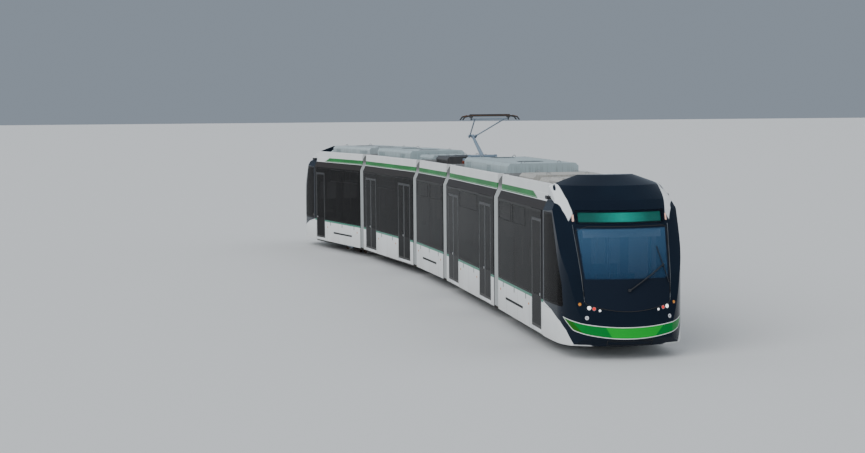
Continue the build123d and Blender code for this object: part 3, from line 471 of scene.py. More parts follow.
# %% Floors and doors
def flooring(section, coords, x, y, z):
    fleck = noise(coords, 260, 1).above(0.64, 0.06)
    walked = noise(coords, 2.0, 4) * y.size().below(0.35, 0.2)
    mat = layered((0.055, 0.065, 0.075), (fleck, (0.10, 0.115, 0.12)), (walked * 0.4, (0.14, 0.13, 0.12)))
    under = tinted(noise(coords, 5, 5), (0.015, 0.015, 0.016), (0.07, 0.06, 0.05))
    above = z.above(0.372, 0.004)  # the side that is walked on
    return dict(
        bump=noise(coords, 220, 2), bump_depth=0.0006,
        Base_Color=tinted(above, under, mat),
        Roughness=0.80 - above * 0.25 + noise(coords, 8, 3) * 0.1,
    )


def door_paint(section, coords, x, y, z):
    worn = noise(coords, 25, 4) * z.below(0.75, 0.25)
    shade = tinted(worn, (0.020, 0.021, 0.023), (0.085, 0.080, 0.075))
    return dict(
        bump=noise(coords, 120, 2), bump_depth=0.0004,
        Base_Color=tinted(y.size().below(half - 0.02) * 0.8, shade, (0.10, 0.32, 0.26)),
        Roughness=0.38 + worn * 0.35, Coat_Weight=0.1, IOR=1.25,
    )


# %% Seats, poles, desk and display
pole_spots = by_section(
    [(x, y) for x in (0.52, 3.56, 4.70) for y in (-0.52, 0.52, -0.48, 0.48, -0.56, 0.56)],
    [(x, y) for x in (-2.03, 2.03) for y in (-0.38, 0.38)],
    [],
)


def furnishing(section, coords, x, y, z):
    weave = (x * 900).math("SINE") * (z * 900).math("SINE")
    dots = coords.node("ShaderNodeTexVoronoi", {"Vector": coords, "Scale": 34.0}).above(0.34, 0.06)
    steel = z.above(1.50, 0.01)
    for pole_x, pole_y in pole_spots[section]:
        steel = steel.either((x - pole_x).across(y - pole_y).below(0.024))
    shade = layered(
        (0.03, 0.19, 0.17),
        (dots, (0.02, 0.11, 0.12)),
        (noise(coords, 70, 3) * 0.5, (0.03, 0.06, 0.07)),
        ((y.size() - 0.74).size().above(0.425, 0.004), (0.34, 0.36, 0.36)),  # the seats' shells
        (steel, (0.55, 0.55, 0.54)),
    )
    metal, glow = steel, {}
    if section in cabs:
        low_down = z.below(1.5, 0.02)
        desk = x.above(6.05, 0.02) * low_down
        driver = x.between(5.3, 6.02, 0.02) * low_down
        board = x.above(5.6, 0.02) * z.above(2.6, 0.02)
        grain = tinted(noise(coords, 300, 2), (0.02, 0.02, 0.022), (0.06, 0.06, 0.065))
        shade = layered(shade, (desk.either(driver), grain), (board, (0.01, 0.016, 0.018)))
        metal = steel * (1 - board.either(desk))
        cells = y.wave(0.016, 0.62, 0.08) * z.wave(0.016, 0.62, 0.08) * board
        cells = cells * z.between(2.735, 2.915, 0.004) * y.size().below(0.86, 0.004)
        lit = 0.22 + 0.5 * y.size().below(0.30, 0.28)
        glow["Emission_Color"] = tinted(cells * lit, (0.0, 0.0, 0.0), (0.02, 0.80, 0.62))
        glow["Emission_Strength"] = 2.6
    return dict(
        bump=weave * (1 - steel), bump_depth=0.0006, Base_Color=shade,
        Roughness=0.85 - steel * 0.6 + noise(coords, 12, 3) * 0.08, Metallic=metal,
        **glow,
    )


# %% Bogies and wheels
def running_steel(_, coords, *place):
    rust = noise(coords, 14, 6)
    shade = layered(
        (0.035, 0.034, 0.034),
        (rust.above(0.55, 0.12), (0.10, 0.055, 0.03)),
        (noise(coords, 3, 3).above(0.6, 0.1) * 0.7, (0.010, 0.010, 0.010)),  # oil
    )
    return dict(
        bump=noise(coords, 90, 4), bump_depth=0.0012, Base_Color=shade,
        Roughness=0.45 + rust * 0.35, Metallic=0.55,
    )


def wheel_steel(number, coords, x, y, z):
    joint = pivots["axle_%d" % number]
    section = ("front", "front", "middle", "middle", "rear", "rear")[number - 1]
    heading = radians(headings[section])
    along = (x - joint.x) * cos(heading) + (y - joint.y) * sin(heading)
    radius = along.across(z - joint.z)
    tread = radius.above(0.292)
    rust = noise(coords, 22, 5)
    return dict(
        bump=rust * (1 - tread) + radius.wave(0.004, 0.5, 0.2) * 0.1, bump_depth=0.001,
        Base_Color=layered((0.055, 0.050, 0.047), (rust, (0.15, 0.09, 0.055)), (tread, (0.62, 0.61, 0.60))),
        Roughness=0.62 - tread * 0.40 + rust * 0.1, Metallic=0.5 + tread * 0.5,
    )


# %% [markdown]
# ## Roof equipment
# The cases are painted steel: pale teal-grey over the saloons, cream at the front, black where the braking
# resistors run hot. Their louvres are real slots; dust lies on the lids and streaks run down the sides.

# %% Roof cases
case_paints = {
    "front": (0.50, 0.49, 0.45),
    "fore": (0.40, 0.50, 0.52),
    "middle": (0.030, 0.032, 0.035),
    "aft": (0.40, 0.50, 0.52),
    "rear": (0.44, 0.52, 0.54),
}


def case_paint(section, coords, x, y, z):
    dust = noise(coords, 2.4, 6)
    streak = coords.node("ShaderNodeMapping", {0: coords, 3: (9.0, 9.0, 0.6)})
    runs = noise(streak, 3.0, 4).above(0.58, 0.12) * z.below(3.62, 0.06)
    seam = x.wave(0.92, 0.008, 0.0015)
    base = case_paints[section]
    shade = layered(
        base,
        (dust * 0.5, tuple(0.6 * v + 0.12 for v in base)),
        (runs * 0.35, (0.12, 0.10, 0.085)),
        (seam, (0.05, 0.05, 0.05)),
    )
    return dict(
        bump=noise(coords, 60, 3) * 0.15 - seam, Base_Color=shade,
        Roughness=0.42 + dust * 0.22, Coat_Weight=0.15,
    )


# %% Gangway cover fabric
def cover_fabric(_, coords, x, y, z):
    """Coated grey cloth, darker over the roof, with blotches of soot there."""
    soot = noise(coords, 3, 4) * z.above(3.20, 0.12)
    shade = tinted(noise(coords, 24, 5), (0.36, 0.38, 0.38), (0.50, 0.52, 0.52))
    return dict(
        bump=noise(coords, 240, 3), bump_depth=0.001,
        Base_Color=tinted(z.above(3.16, 0.06) * 0.75 + soot * 0.2, shade, (0.12, 0.125, 0.12)),
        Roughness=0.74 + soot * 0.12,
    )


grey_fabric = finish("grey_fabric", cover_fabric)


# %% Small shared finishes
def grained(name, low, high, scale=60.0, roughness=0.5, spread=0.2, metallic=0.0, depth=0.0005, **more):
    """A plain painted, moulded or cast surface: two shades mottled by noise, with a fine grain."""

    def mix(_, coords, *place):
        mottle = noise(coords, scale / 10, 5)
        return dict(
            bump=noise(coords, scale, 3), bump_depth=depth,
            Base_Color=tinted(mottle, low, high),
            Roughness=roughness + mottle * spread, Metallic=metallic,
            **more,
        )

    return finish(name, mix)


black_rubber = grained("black_rubber", (0.012, 0.012, 0.012), (0.035, 0.034, 0.033), 180, 0.62)
satin_steel = grained("satin_steel", (0.50, 0.50, 0.49), (0.62, 0.62, 0.61), 140, 0.24, 0.14, 1.0, 0.0002)
arm_paint = grained("arm_paint", (0.15, 0.21, 0.28), (0.24, 0.30, 0.36), 60, 0.42)
dark_plastic = grained("dark_plastic", (0.014, 0.015, 0.017), (0.04, 0.04, 0.043), 320, 0.46)
carbon = grained("carbon", (0.018, 0.018, 0.019), (0.06, 0.058, 0.056), 90, 0.55)
porcelain = grained("porcelain", (0.20, 0.045, 0.025), (0.28, 0.07, 0.04), 40, 0.16, 0.1, 0.0, 0.0002)
copper = grained("copper", (0.45, 0.20, 0.10), (0.55, 0.28, 0.15), 90, 0.35, 0.2, 1.0)
white_paint = grained(
    "white_paint", (0.70, 0.72, 0.72), (0.80, 0.82, 0.82), 50, 0.34, 0.12, 0.0, 0.0003, Coat_Weight=0.5
)
warm_lamp = grained(
    "warm_lamp", (0.9, 0.9, 0.85), (1.0, 1.0, 0.95), 30, 0.3, 0.1, 0.0, 0.0002,
    Emission_Color=(1.0, 0.97, 0.90), Emission_Strength=3.0,
)
amber_lens = grained(
    "amber_lens", (0.55, 0.18, 0.01), (0.75, 0.28, 0.02), 90, 0.12, 0.06, 0.0, 0.0003, Coat_Weight=1.0
)
marker_lens = grained(
    "marker_lens", (0.80, 0.46, 0.34), (0.90, 0.60, 0.48), 90, 0.14, 0.06, 0.0, 0.0003,
    Coat_Weight=1.0, Emission_Color=(1.0, 0.50, 0.36), Emission_Strength=0.3,
)
print("finishes:", len(bpy.data.materials))

# %% [markdown]
# The lamps are solids of clear lens. Their glow depends on where they are on the face: white outside, red
# beside it, small white inwards, an unlit ring lamp with a dark middle below, and red ones at the ends of the
# display, under pale marker covers.


# %% Lamp lenses
def lamp_lens(section, coords, x, y, z):
    red = y.size().between(0.66, 0.755) * z.between(0.98, 1.10)
    red = red.either(z.above(2.81, 0.005))
    eye = (y.size() - 0.850).across(z - 0.866).below(0.015)
    lit = (1 - z.between(0.80, 0.93)) * (1 - z.above(2.5, 0.02) * 0.6)
    light = tinted(red, (1.0, 0.98, 0.94), (0.50, 0.008, 0.004))
    return dict(
        bump=y.wave(0.006, 0.5, 0.2), bump_depth=0.0008,
        Base_Color=layered((0.86, 0.88, 0.92), (red, (0.55, 0.012, 0.008)), (eye, (0.02, 0.022, 0.026))),
        Roughness=0.10 + noise(coords, 60, 2) * 0.1, Coat_Weight=1.0,
        Emission_Color=tinted(lit, (0.02, 0.02, 0.02), light),
        Emission_Strength=1.5,
    )


# %% Give every solid its finish
running = finish("running_steel", running_steel)
wardrobe = [
    # part of a section, its mix, the sections that have it
    ("sides", coachwork, places),
    ("roof", roofing, places),
    ("glass", glazing, places),
    ("floor", flooring, places),
    ("roof_gear", case_paint, places),
    ("interior", furnishing, cabs),
    ("seats", furnishing, ("fore", "middle", "aft")),
    ("doors", door_paint, [section for section in places if doors[section]]),
    ("lamps", lamp_lens, cabs),
]
for part, mix, sections in wardrobe:
    for section in sections:
        dress(section + "_" + part, finish(mix.__name__ + "_" + section, mix, section))
for section in cabs:
    for part in ("mask", "apron"):
        dress(section + "_" + part, finish(part + "_" + section, cab_skin, section))
    dress(section + "_fittings", dark_plastic)
for section in ("front", "middle", "rear"):
    dress(section + "_bogie", running)
for number in range(1, 7):
    dress("wheelset_%d" % number, finish("wheel_steel_%d" % number, wheel_steel, key=number))
for node in ("base", "lower_arm", "upper_arm", "rod"):
    dress("pantograph_" + node, arm_paint)
dress("pantograph_head", carbon)
for end in ("front", "fore", "aft", "rear"):
    dress("bellows_" + end, grey_fabric)
print("dressed", len(frame["nodes"]), "solids")

# %% [markdown]
# ## Tools for small pieces
# Four shapes make most fittings: a block with softened edges, a round bar, a tube through some points and a
# spun profile. Each adds to a bmesh in the section's own frame. `put` turns the bmesh into an object that
# rides on its body, with its place in its mesh, and `fit` does that for the pieces of one section.


# %% Blocks, bars, tubes and spun pieces
def fresh(count):
    """That many empty bmeshes."""
    return [bmesh.new() for _ in range(count)]


def toward(angle):
    """A level line one metre long, at an angle."""
    return Vector((cos(angle), sin(angle), 0))


def standing(centre, line):
    """The matrix that puts a shape at a centre, with its Z along a line."""
    return Matrix.Translation(centre) @ line.to_track_quat("Z", "Y").to_matrix().to_4x4()


def block(bm, centre, size, soft=0.0, turn=None):
    """A box with its edges rounded."""
    matrix = Matrix.Translation(centre) @ (turn or Matrix.Identity(4)) @ Matrix.Diagonal((*size, 1))
    verts = bmesh.ops.create_cube(bm, size=1.0, matrix=matrix)["verts"]
    if soft:
        edges = list({edge for vert in verts for edge in vert.link_edges})
        bmesh.ops.bevel(bm, geom=edges, offset=soft, segments=2, profile=0.5, affect="EDGES", material=-1)


def bar(bm, start, stop, radius, sides=16):
    """A round bar from one point to another."""
    start, stop = Vector(start), Vector(stop)
    line = stop - start
    ends = {"cap_ends": True, "radius1": radius, "radius2": radius}
    matrix = standing((start + stop) / 2, line)
    bmesh.ops.create_cone(bm, segments=sides, depth=line.length, matrix=matrix, **ends)


def tube(bm, points, radius, sides=8):
    """A round tube through a row of points, closed at both ends."""
    points = [Vector(point) for point in points]
    rings = []
    for index, point in enumerate(points):
        ahead = points[min(index + 1, len(points) - 1)] - points[max(index - 1, 0)]
        matrix = standing(point, ahead)
        verts = bmesh.ops.create_circle(bm, segments=sides, radius=radius, matrix=matrix)["verts"]
        rings.append(list({edge for vert in verts for edge in vert.link_edges}))
    for first, second in zip(rings, rings[1:]):
        bmesh.ops.bridge_loops(bm, edges=first + second)
    for ring in (rings[0], rings[-1]):
        bmesh.ops.edgeloop_fill(bm, edges=ring)


def spun(bm, profile, centre, axis, steps=24):
    """A profile of (radius, height) points spun about an axis through the centre."""
    centre, axis = Vector(centre), Vector(axis).normalized()
    matrix = standing(centre, axis)
    verts = [bm.verts.new(matrix @ Vector((radius, 0, height))) for radius, height in profile]
    edges = [bm.edges.new(pair) for pair in zip(verts, verts[1:])]
    whole = {"angle": 2 * pi, "steps": steps, "use_merge": True}
    bmesh.ops.spin(bm, geom=verts + edges, cent=centre, axis=axis, **whole)
    bmesh.ops.remove_doubles(bm, verts=bm.verts, dist=0.00002)


def put(name, bm, body, material, place, sharp=38):
    """Makes the bmesh an object that rides on a body, and prints its size."""
    bmesh.ops.transform(bm, matrix=place, verts=bm.verts)
    bmesh.ops.recalc_face_normals(bm, faces=bm.faces)
    mesh = bpy.data.meshes.new(name)
    bm.to_mesh(mesh)
    bm.free()
    mesh.materials.append(material)
    mesh.polygons.foreach_set("use_smooth", [True] * len(mesh.polygons))
    mesh.set_sharp_from_angle(angle=radians(sharp))
    thing = bpy.data.objects.new(name, mesh)
    bpy.context.scene.collection.objects.link(thing)
    if body:
        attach(thing, body)
    print(name, len(mesh.polygons), "faces")
    return thing


def fit(section, name, bm, material, sharp=38):
    """Puts a piece on its section's body, in that section's place."""
    put(section + "_" + name, bm, section + "_section", material, places[section], sharp)


# %% [markdown]
# ## Gangway bellows
# At each pivot a folded rubber cover joins two sections. The real one is a stack of narrow arches, sewn edge
# to edge and clamped in thin frames. An arch of a few points is extruded step by step across the gap, in and
# out in turn, and the finished sleeve bends between the two bodies.

# %% Bellows
arch_half = [  # half of the arch's outline, from the top's middle to the foot: y, z
    (0.0, 3.415), (1.05, 3.415), (1.13, 3.38), (1.18, 3.30), (1.205, 3.13), (1.298, 2.915), (1.298, 0.33),
]
arch = [*reversed(arch_half), *((-y, z) for y, z in arch_half[1:])]
gap = 0.266  # from a pivot to the cover's end
fold_count, fold_deep, steps_per_fold = 11, 0.052, 4
bellows_table = [
    # name, section ahead, section behind
    ("front", "front", "fore"),
    ("fore", "fore", "middle"),
    ("aft", "middle", "aft"),
    ("rear", "aft", "rear"),
]


def spot_key(vert):
    """A vertex's rounded place, by which its copy is found after an extrusion."""
    return tuple(round(value, 4) for value in vert.co)


for name, ahead, behind in bellows_table:
    pivot = Vector((*pivots[name + "_pivot"].xy, 0))
    turn_ahead = radians(headings[ahead])
    turn_behind = radians(headings[behind] - (180 if behind == "rear" else 0))
    bm = bmesh.new()
    verts = [bm.verts.new((0, y, z)) for y, z in arch]
    loop = [bm.edges.new(pair) for pair in zip(verts, verts[1:])]
    corners = [vert.co.copy() for vert in verts]
    steps = steps_per_fold * fold_count
    for step in range(steps + 1):
        share = step / steps
        spot = pivot + gap * (share**2 * toward(turn_ahead) - (1 - share) ** 2 * toward(turn_behind))
        heading = turn_behind + share * (turn_ahead - turn_behind)
        dip = fold_deep * (0.5 - 0.5 * cos(2 * pi * share * fold_count))
        if step:
            made = bmesh.ops.extrude_edge_only(bm, edges=loop)["geom"]
            loop = [item for item in made if isinstance(item, bmesh.types.BMEdge)]
            verts = [item for item in made if isinstance(item, bmesh.types.BMVert)]
            verts.sort(key=lambda vert: order[spot_key(vert)])
        matrix = Matrix.Translation(spot) @ Matrix.Rotation(heading, 4, "Z")
        for vert, corner in zip(verts, corners):
            inward = Vector((0, corner.y - copysign(dip, corner.y) if corner.y else 0, corner.z))
            if corner.z > 3.2:
                inward.z -= dip
            vert.co = matrix @ inward
        order = {spot_key(vert): index for index, vert in enumerate(verts)}
    bmesh.ops.recalc_face_normals(bm, faces=bm.faces)
    bmesh.ops.solidify(bm, geom=bm.faces[:], thickness=0.006)
    cover = put("bellows_cover_" + name, bm, None, grey_fabric, Matrix.Identity(4), 60)
    low, high = pivot - gap * toward(turn_behind), pivot + gap * toward(turn_ahead)
    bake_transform(cover)
    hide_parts("bellows_" + name)

# %% [markdown]
# ## Doors and side fittings
# Each door leaf closes on a soft rubber edge, has a grip inside and stands over a white sill, and each door
# has a round push button in a bright ring. Beside the doors are small lamps, and each wall panel has a narrow
# black slot under the waist.

# %% Doors, sills, slots and markers
button = [(0, 0.010), (0.022, 0.010), (0.030, 0.006), (0.034, 0.0), (0.034, -0.012)]
marker = [(0, 0.012), (0.020, 0.010), (0.028, 0.004), (0.030, -0.004)]
grip = [(0, 0), (0.7, 0.02), (1, 0.06), (1, 0.94), (0.7, 0.98), (0, 1)]  # how far inwards, how far up
panel_width = 1.22
for section, (low, high) in reach.items():
    sills, seals, buttons, grips, slots, markers = fresh(6)
    for start, stop in doors[section]:
        middle, width = (start + stop) / 2, stop - start
        double = width > 1.2
        knobs = [middle - 0.10, middle + 0.10] if double else [stop - 0.12]
        for side in both:
            face = side * half
            block(sills, (middle, face - side * 0.012, 0.352), (width, 0.05, 0.07), 0.006)
            for x in [start + 0.012, stop - 0.012] + ([middle] if double else []):
                block(seals, (x, face - side * 0.018, 1.552), (0.016, 0.03, 2.315), 0.004)
            block(seals, (middle, face - side * 0.018, 2.722), (width, 0.03, 0.02), 0.004)
            spun(buttons, button, (knobs[0], face, 1.12), (0, side, 0))
            for x in knobs:
                path = [(x, face - side * (0.050 + 0.045 * lift), 0.85 + 1.05 * run) for lift, run in grip]
                tube(grips, path, 0.014)
    if doors[section]:
        fit(section, "door_sills", sills, white_paint)
        fit(section, "door_seals", seals, black_rubber)
        fit(section, "door_buttons", buttons, satin_steel)
        fit(section, "door_grips", grips, satin_steel)
    edges = [low, *(value for pair in doors[section] for value in pair), high]
    for first, second in zip(edges[::2], edges[1::2]):
        if second - first < 0.8:
            continue
        count = max(1, round((second - first) / panel_width))
        for side in both:
            for index in range(count):
                x = first + (second - first) * (index + 0.5) / count
                block(slots, (x, side * (half + 0.001), 0.93), (0.032, 0.010, 0.11), 0.003)
            for x in (first + 0.3, second - 0.3):
                spun(markers, marker, (x, side * half, 0.80), (0, side, 0), 20)
    fit(section, "vent_slots", slots, black_rubber)
    fit(section, "side_markers", markers, amber_lens)

# %% [markdown]
# ## The saloon behind the glass
# Through the side windows one sees pale rails under the ceiling, hanging straps and two rows of light. They
# are simple shapes, but without them the tram looks empty.

# %% Ceiling lights, rails and straps
ring = [(0.050, 0.007), (0.060, 0.007), (0.060, -0.007), (0.050, -0.007), (0.050, 0.007)]
rail_y, rail_z, ceiling_z = 0.60, 2.42, 3.128
for section, (low, high) in reach.items():
    low, high = low + 0.12, high - 0.12
    lights, rails, straps = fresh(3)
    for side in both:
        y = side * rail_y
        block(lights, ((low + high) / 2, side * 0.62, 3.112), (high - low - 0.2, 0.12, 0.03), 0.008)
        bar(rails, (low, y, rail_z), (high, y, rail_z), 0.016)
        hangers = int((high - low) / 0.95)
        for index in range(hangers + 1):
            x = low + 0.1 + (high - low - 0.2) * index / hangers
            bar(rails, (x, y, rail_z), (x, y, ceiling_z), 0.011, 10)
            if index < hangers:
                spot = x + (high - low) / hangers / 2
                block(straps, (spot, y, 2.335), (0.030, 0.008, 0.17), 0.002)
                spun(straps, ring, (spot, y, 2.205), (0, 1, 0), 20)
    fit(section, "ceiling_lights", lights, warm_lamp)
    fit(section, "grab_rails", rails, satin_steel)
    fit(section, "hand_straps", straps, dark_plastic)

# %% [markdown]
# ## Roof details
# The roof carries cable trays along both edges. The cases' lids are bolted and have lifting eyes, and fans
# blow out through round grilles in them.

# %% Trays, bolts and lifting eyes
case_tables = {
    # section: x centre, length, width and height of each case
    "front": [(1.25, 1.5, 1.70, 0.23), (2.95, 1.6, 1.50, 0.19), (4.38, 1.0, 1.86, 0.27)],
    "fore": [(0.0, 5.3, 1.76, 0.40)],
    "middle": [(-0.85, 1.5, 1.50, 0.33)],
    "aft": [(-0.75, 4.0, 1.76, 0.40), (2.2, 1.4, 1.30, 0.30)],
    "rear": [(2.3, 3.7, 1.76, 0.39), (4.55, 0.6, 1.50, 0.22)],
}
bolt = [(0, 0.009), (0.010, 0.009), (0.013, 0.006), (0.013, 0.002), (0.020, 0.0)]
arc = [pi * step / 8 for step in range(9)]
for section, (low, high) in reach.items():
    trays, bolts, eyes = fresh(3)
    for side in both:
        block(trays, ((low + high) / 2, side * 0.985, deck + 0.03), (high - low - 0.5, 0.09, 0.06), 0.008)
        for index in range(3):
            y = side * (0.965 + 0.02 * index)
            bar(trays, (low + 0.15, y, deck + 0.068), (high - 0.15, y, deck + 0.068), 0.008, 8)
    for x, length, width, height in case_tables[section]:
        lid = deck + height
        count = max(3, round(length / 0.45))
        for index in range(count):
            spot = x - length / 2 + 0.12 + (length - 0.24) * index / (count - 1)
            for side in both:
                spun(bolts, bolt, (spot, side * (width / 2 - 0.11), lid), (0, 0, 1), 6)
        for end in both:
            spot = x + end * (length / 2 - 0.22)
            for side in both:
                y = side * 0.45
                tube(eyes, [(spot, y + 0.045 * cos(a), lid + 0.05 * sin(a)) for a in arc], 0.008)
    fit(section, "cable_trays", trays, dark_plastic)
    fit(section, "lid_bolts", bolts, satin_steel)
    fit(section, "lifting_eyes", eyes, satin_steel)

# %% Fans and their grilles
fan_tables = {
    # section: x centre and lid height of each fan
    "front": [(2.50, 0.19), (3.35, 0.19)],
    "fore": [(-1.9, 0.40), (1.3, 0.40)],
    "middle": [(-1.25, 0.33), (-0.45, 0.33)],
    "aft": [(-1.7, 0.40), (0.3, 0.40)],
    "rear": [(1.3, 0.39), (3.2, 0.39)],
}
wire = [(-0.004, 0.001), (-0.004, 0.007), (0.004, 0.007), (0.004, 0.001), (-0.004, 0.001)]
for section, fans in fan_tables.items():
    grilles, blades = fresh(2)
    for x, height in fans:
        lid = deck + height
        for radius in (0.15, 0.20, 0.25, 0.30, 0.335):
            spun(grilles, [(radius + wide, tall) for wide, tall in wire], (x, 0, lid), (0, 0, 1), 32)
        spot = Vector((x, 0, lid + 0.004))
        for index in range(6):
            spoke = toward(index * pi / 3)
            bar(grilles, spot + spoke * 0.10, spot + spoke * 0.335, 0.004, 6)
        for index in range(9):
            angle = 2 * pi * index / 9
            turned = Matrix.Rotation(angle, 4, "Z") @ Matrix.Rotation(radians(28), 4, "X")
            spot = (x + 0.215 * cos(angle), 0.215 * sin(angle), lid - 0.024)
            block(blades, spot, (0.19, 0.075, 0.004), 0.0, turned)
    fit(section, "fan_grilles", grilles, satin_steel)
    fit(section, "fan_blades", blades, dark_plastic)

# %% [markdown]
# ## The pantograph
# The frame stands on four ribbed insulators, because it is live. Two coil springs pull the lower arm up, and
# the head carries a pair of carbon strips in thin metal holders with down-turned ends.

# %% Insulators, springs and carbon strips
base_x, base_z = 1.10, 3.65
low_turn, up_turn = radians(25), radians(14)
knee = Vector((base_x - 1.3 * cos(low_turn), 0, base_z + 1.3 * sin(low_turn)))
head_spot = knee + 2.1 * Vector((cos(up_turn), 0, sin(up_turn)))
sheds = [(0.0455, 0.03)]
for rib in range(5):
    z = 0.045 + rib * 0.038
    sheds += [(0.050, z), (0.078, z + 0.004), (0.080, z + 0.012), (0.052, z + 0.022)]
sheds += [(0.050, 0.235), (0.0455, 0.235), (0.0455, 0.03)]
foot = [(0.046, 0.0), (0.095, 0.0), (0.095, 0.012), (0.060, 0.018), (0.046, 0.022), (0.046, 0.0)]
ribs, feet = fresh(2)
for x in (base_x - 0.64, base_x + 0.14):
    for side in both:
        for bm, profile in ((ribs, sheds), (feet, foot)):
            spun(bm, profile, (x, side * 0.38, deck), (0, 0, 1), 28)

coils = bmesh.new()
turns, wire_steps, coil_radius = 22, 10, 0.030
count = turns * wire_steps
for side in both:
    start = Vector((base_x - 0.60, side * 0.24, base_z - 0.045))
    stop = Vector((base_x - 0.06, side * 0.24, base_z - 0.045))
    points = []
    for step in range(count + 1):
        angle = 2 * pi * step / wire_steps
        round_spot = Vector((0, coil_radius * cos(angle), coil_radius * sin(angle)))
        points.append(start.lerp(stop, step / count) + round_spot)
    tube(coils, points, 0.0055, 5)
    bar(coils, start - Vector((0.05, 0, 0)), start, 0.010, 8)
    bar(coils, stop, stop + Vector((0.03, 0, 0)), 0.010, 8)

strips, holders = fresh(2)
for offset in both:
    spot = head_spot + Vector((offset * 0.16, 0, 0.1))
    block(holders, spot + Vector((0, 0, 0.004)), (0.048, 1.12, 0.008), 0.002)
    block(strips, spot + Vector((0, 0, 0.020)), (0.036, 1.06, 0.024), 0.005)
    for side in both:
        horn = (spot + Vector((0, side * 0.60, 0.004)), spot + Vector((0, side * 0.757, -0.036)))
        bar(holders, *horn, 0.010, 10)
for name, bm, body, material, slot in [
    ("insulator_ribs", ribs, "middle_section", porcelain, "trim_black"),
    ("insulator_feet", feet, "middle_section", satin_steel, "wheel_steel"),
    ("raising_springs", coils, "middle_section", satin_steel, "wheel_steel"),
    ("carbon_strips", strips, "head", carbon, "arm_grey"),
    ("strip_holders", holders, "head", copper, "wheel_steel"),
]:
    put(name, bm, body, material, places["middle"])

# %% [markdown]
# ## The cab's face
# Pieces on the face follow its curve, so they need its shape: the nose's outline gives how far forward the
# face lies at a height, and each height is a circle about one upright line. A seal runs round the windscreen,
# every lamp sits in a bright bezel, and fine creases frame the screen.

# %% The face's shape
nose_outline = [  # height, how far forward
    (0.29, 6.88), (0.44, 7.0), (0.70, 7.0), (0.97, 6.952), (1.70, 6.828),
    (2.96, 6.376), (3.16, 6.235), (3.44, 5.89), (3.64, 5.36),
]


def on_face(y, z, lift=0.0):
    """The point of the cab's face at a distance from the middle and a height, lifted off it."""
    for (low_z, low_x), (high_z, high_x) in zip(nose_outline, nose_outline[1:]):
        if low_z <= z <= high_z:
            radius = low_x + (z - low_z) / (high_z - low_z) * (high_x - low_x) - nose_axis
            slope = (low_x - high_x) / (high_z - low_z)
    forward_x = sqrt(radius**2 - y**2)
    out = Vector((forward_x / radius, y / radius, slope)).normalized()
    return Vector((nose_axis + forward_x, y, z)) + out * lift, out


def face_line(points, lift):
    """Points on the face, from pairs of a distance from the middle and a height."""
    return [on_face(y, z, lift)[0] for y, z in points]


def screen_edge():
    """Points round the windscreen, seen from the front: a curved lower edge and rounded corners."""
    side, low, high, sag = 0.955, 1.135, 2.65, 0.15
    points = []
    for step in range(13):
        y = (side - 0.12) * (step / 6 - 1)
        points.append((y, low - sag + sag * (y / (side - 0.09)) ** 2))
    points += [(side - 0.082, low + 0.035), (side - 0.068, low + 0.10)]
    for step in range(1, 8):
        share = step / 8
        points.append((side - 0.068 + 0.064 * share, low + 0.10 + (high - low - 0.20) * share))
    points += [(side - 0.004, high - 0.09), (side - 0.025, high - 0.025), (side - 0.09, high - 0.002)]
    for step in range(1, 12):
        points.append(((side - 0.09) * (1 - step / 6), high))
    points += [(-y, z) for y, z in points[22:12:-1]]
    return points


print("face at y 0, z 2.0:", [round(v, 3) for v in on_face(0, 2.0)[0]])

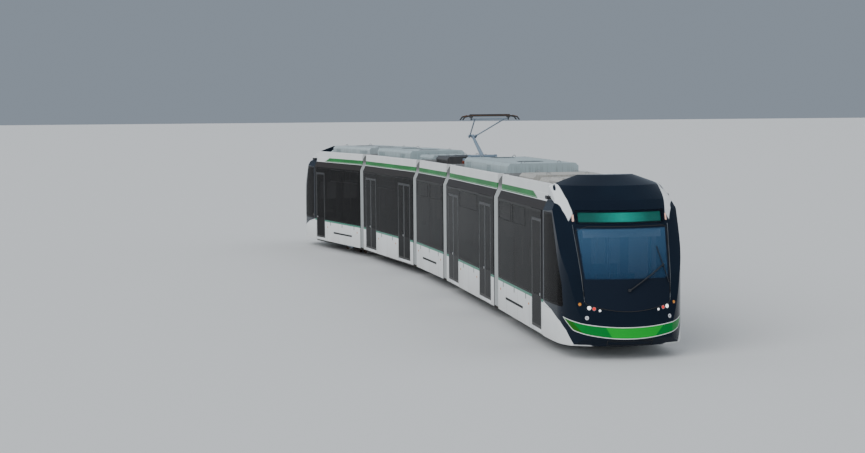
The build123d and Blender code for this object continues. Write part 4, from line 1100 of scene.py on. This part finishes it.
# %% Windscreen seal, creases, bezels and coupler flap
lamp_spots = [(0.80, 1.062, 0.036), (0.708, 1.046, 0.030), (0.60, 1.012, 0.020), (0.85, 0.866, 0.034)]
rim = [(0.001, -0.006), (0.001, 0.003), (0.005, 0.005), (0.010, 0.003), (0.012, -0.006), (0.001, -0.006)]
blinker = [(0, 0.010), (0.020, 0.008), (0.030, 0.003), (0.034, -0.004)]
knob = [(0, 0.026), (0.018, 0.020), (0.026, 0.0), (0.018, -0.020), (0, -0.026)]
crease_heights = [2.68 - 1.50 * step / 12 for step in range(13)]
marker_heights = [2.745 + 0.13 * step / 6 for step in range(7)]
flap_ys = [-0.46 + 0.92 * step / 8 for step in range(9)]
for section in cabs:
    seal, crease, bezels, covers, blinkers, flap, visor, desk = fresh(8)
    outline = face_line(screen_edge(), 0.001)
    tube(seal, outline + outline[:1], 0.0075, 6)
    for side in both:
        line = face_line([(side * (0.877 + 0.072 * (z - 1.13)), z) for z in crease_heights], 0.002)
        tube(crease, line, 0.006, 6)
        for y, z, radius in lamp_spots:
            spun(bezels, [(radius + wide, tall) for wide, tall in rim], *on_face(side * y, z), 28)
        tube(covers, face_line([(side * 0.968, z) for z in marker_heights], -0.010), 0.024, 12)
        spun(blinkers, blinker, *on_face(side * 0.97, 1.13), 24)
        bar(visor, (6.24, side * 0.84, 2.60), (6.24, side * 0.70, 2.60), 0.010, 10)
    rows = [face_line([(y, z) for y in flap_ys], 0.004) for z in (0.315, 0.40, 0.438)]
    for line in rows + [[row[end] for row in rows] for end in (0, -1)]:
        tube(flap, line, 0.004, 6)
    block(visor, (6.30, 0, 2.50), (0.02, 1.62, 0.16), 0.006, Matrix.Rotation(radians(-20), 4, "Y"))
    for y, wide in ((-0.42, 0.30), (0.0, 0.36), (0.42, 0.30)):
        block(desk, (6.34, y, 1.30), (0.03, wide, 0.20), 0.008, Matrix.Rotation(radians(-28), 4, "Y"))
        bar(desk, (6.36, y, 1.13), (6.36, y, 1.24), 0.018, 12)
    for y in (-0.30, 0.24):
        bar(desk, (6.28, y, 1.18), (6.24, y, 1.30), 0.012, 12)
        spun(desk, knob, (6.235, y, 1.315), (0, 0, 1), 16)
    fit(section, "screen_seal", seal, black_rubber, 60)
    fit(section, "face_creases", crease, satin_steel, 60)
    fit(section, "lamp_bezels", bezels, satin_steel, 50)
    fit(section, "marker_covers", covers, marker_lens, 60)
    fit(section, "blinkers", blinkers, amber_lens)
    fit(section, "coupler_flap", flap, black_rubber, 60)
    fit(section, "sun_blind", visor, white_paint)
    fit(section, "desk_screens", desk, dark_plastic)

# %% [markdown]
# ## Bogies
# Outside each wheel an axle box carries the frame on rubber springs, and a damper lies along the beam. The
# cover plates are held by rings of bolts. Only glimpses show under the skirt, but from low down they all do.

# %% Axle-box covers, springs and dampers
cap = [(0, 0.030), (0.050, 0.030), (0.058, 0.024), (0.085, 0.020), (0.092, 0.010), (0.092, 0.0)]
cap_bolt = [(0, 0.014), (0.009, 0.014), (0.011, 0.011), (0.011, 0.0)]
rubber = [(0, 0.002)]
for layer in range(3):
    z = 0.002 + layer * 0.0028
    rubber += [(0.050, z), (0.056, z + 0.0014), (0.050, z + 0.0026)]
rubber += [(0, 0.0104)]
for section, x in {"front": 2.05, "middle": 0.0, "rear": 2.05}.items():
    covers, cushions, dampers = fresh(3)
    for side in both:
        for end in both:
            axle_x = x + end * wheel_half_base
            spun(covers, cap, (axle_x, side * 1.045, axle_height), (0, side, 0), 28)
            for index in range(6):
                across, rise = 0.072 * cos(pi * index / 3), 0.072 * sin(pi * index / 3)
                spun(covers, cap_bolt, (axle_x + across, side * 1.064, axle_height + rise), (0, side, 0), 6)
            spun(cushions, rubber, (x + end * 0.384, side * 0.98, 0.418), (0, 0, 1), 20)
            pin_x, pin_z = x + end * 0.36, 0.214 if end < 0 else 0.253
            bar(dampers, (pin_x, side * 1.040, pin_z), (pin_x, side * 1.110, pin_z), 0.026)
        bar(dampers, (x - 0.34, side * 1.085, 0.215), (x + 0.02, side * 1.085, 0.235), 0.028, 18)
        bar(dampers, (x + 0.02, side * 1.085, 0.235), (x + 0.34, side * 1.085, 0.252), 0.014, 14)
    fit(section, "axle_covers", covers, running)
    fit(section, "rubber_cushions", cushions, black_rubber)
    fit(section, "dampers", dampers, arm_paint)

# %% [markdown]
# ## Window details
# The upper part of some panes tips inwards for air; a thin frame marks it, with a small catch inside.

# %% Hopper frames
hoppers = by_section([(0.45, 1.75), (1.95, 3.25)], [(-1.1, 1.1)], [(-1.65, -0.15), (0.15, 1.65)])
for section in places:
    frames = bmesh.new()
    for low, high in hoppers[section]:
        middle = (low + high) / 2
        for side in both:
            y = side * (half + 0.001)
            for x in (low, high):
                block(frames, (x, y, 2.66), (0.014, 0.008, 0.40), 0.003)
            for z in (2.46, 2.86):
                block(frames, (middle, y, z), (high - low + 0.014, 0.008, 0.014), 0.003)
            block(frames, (middle, side * (half - 0.055), 2.50), (0.12, 0.02, 0.03), 0.006)
    fit(section, "hopper_frames", frames, black_rubber)
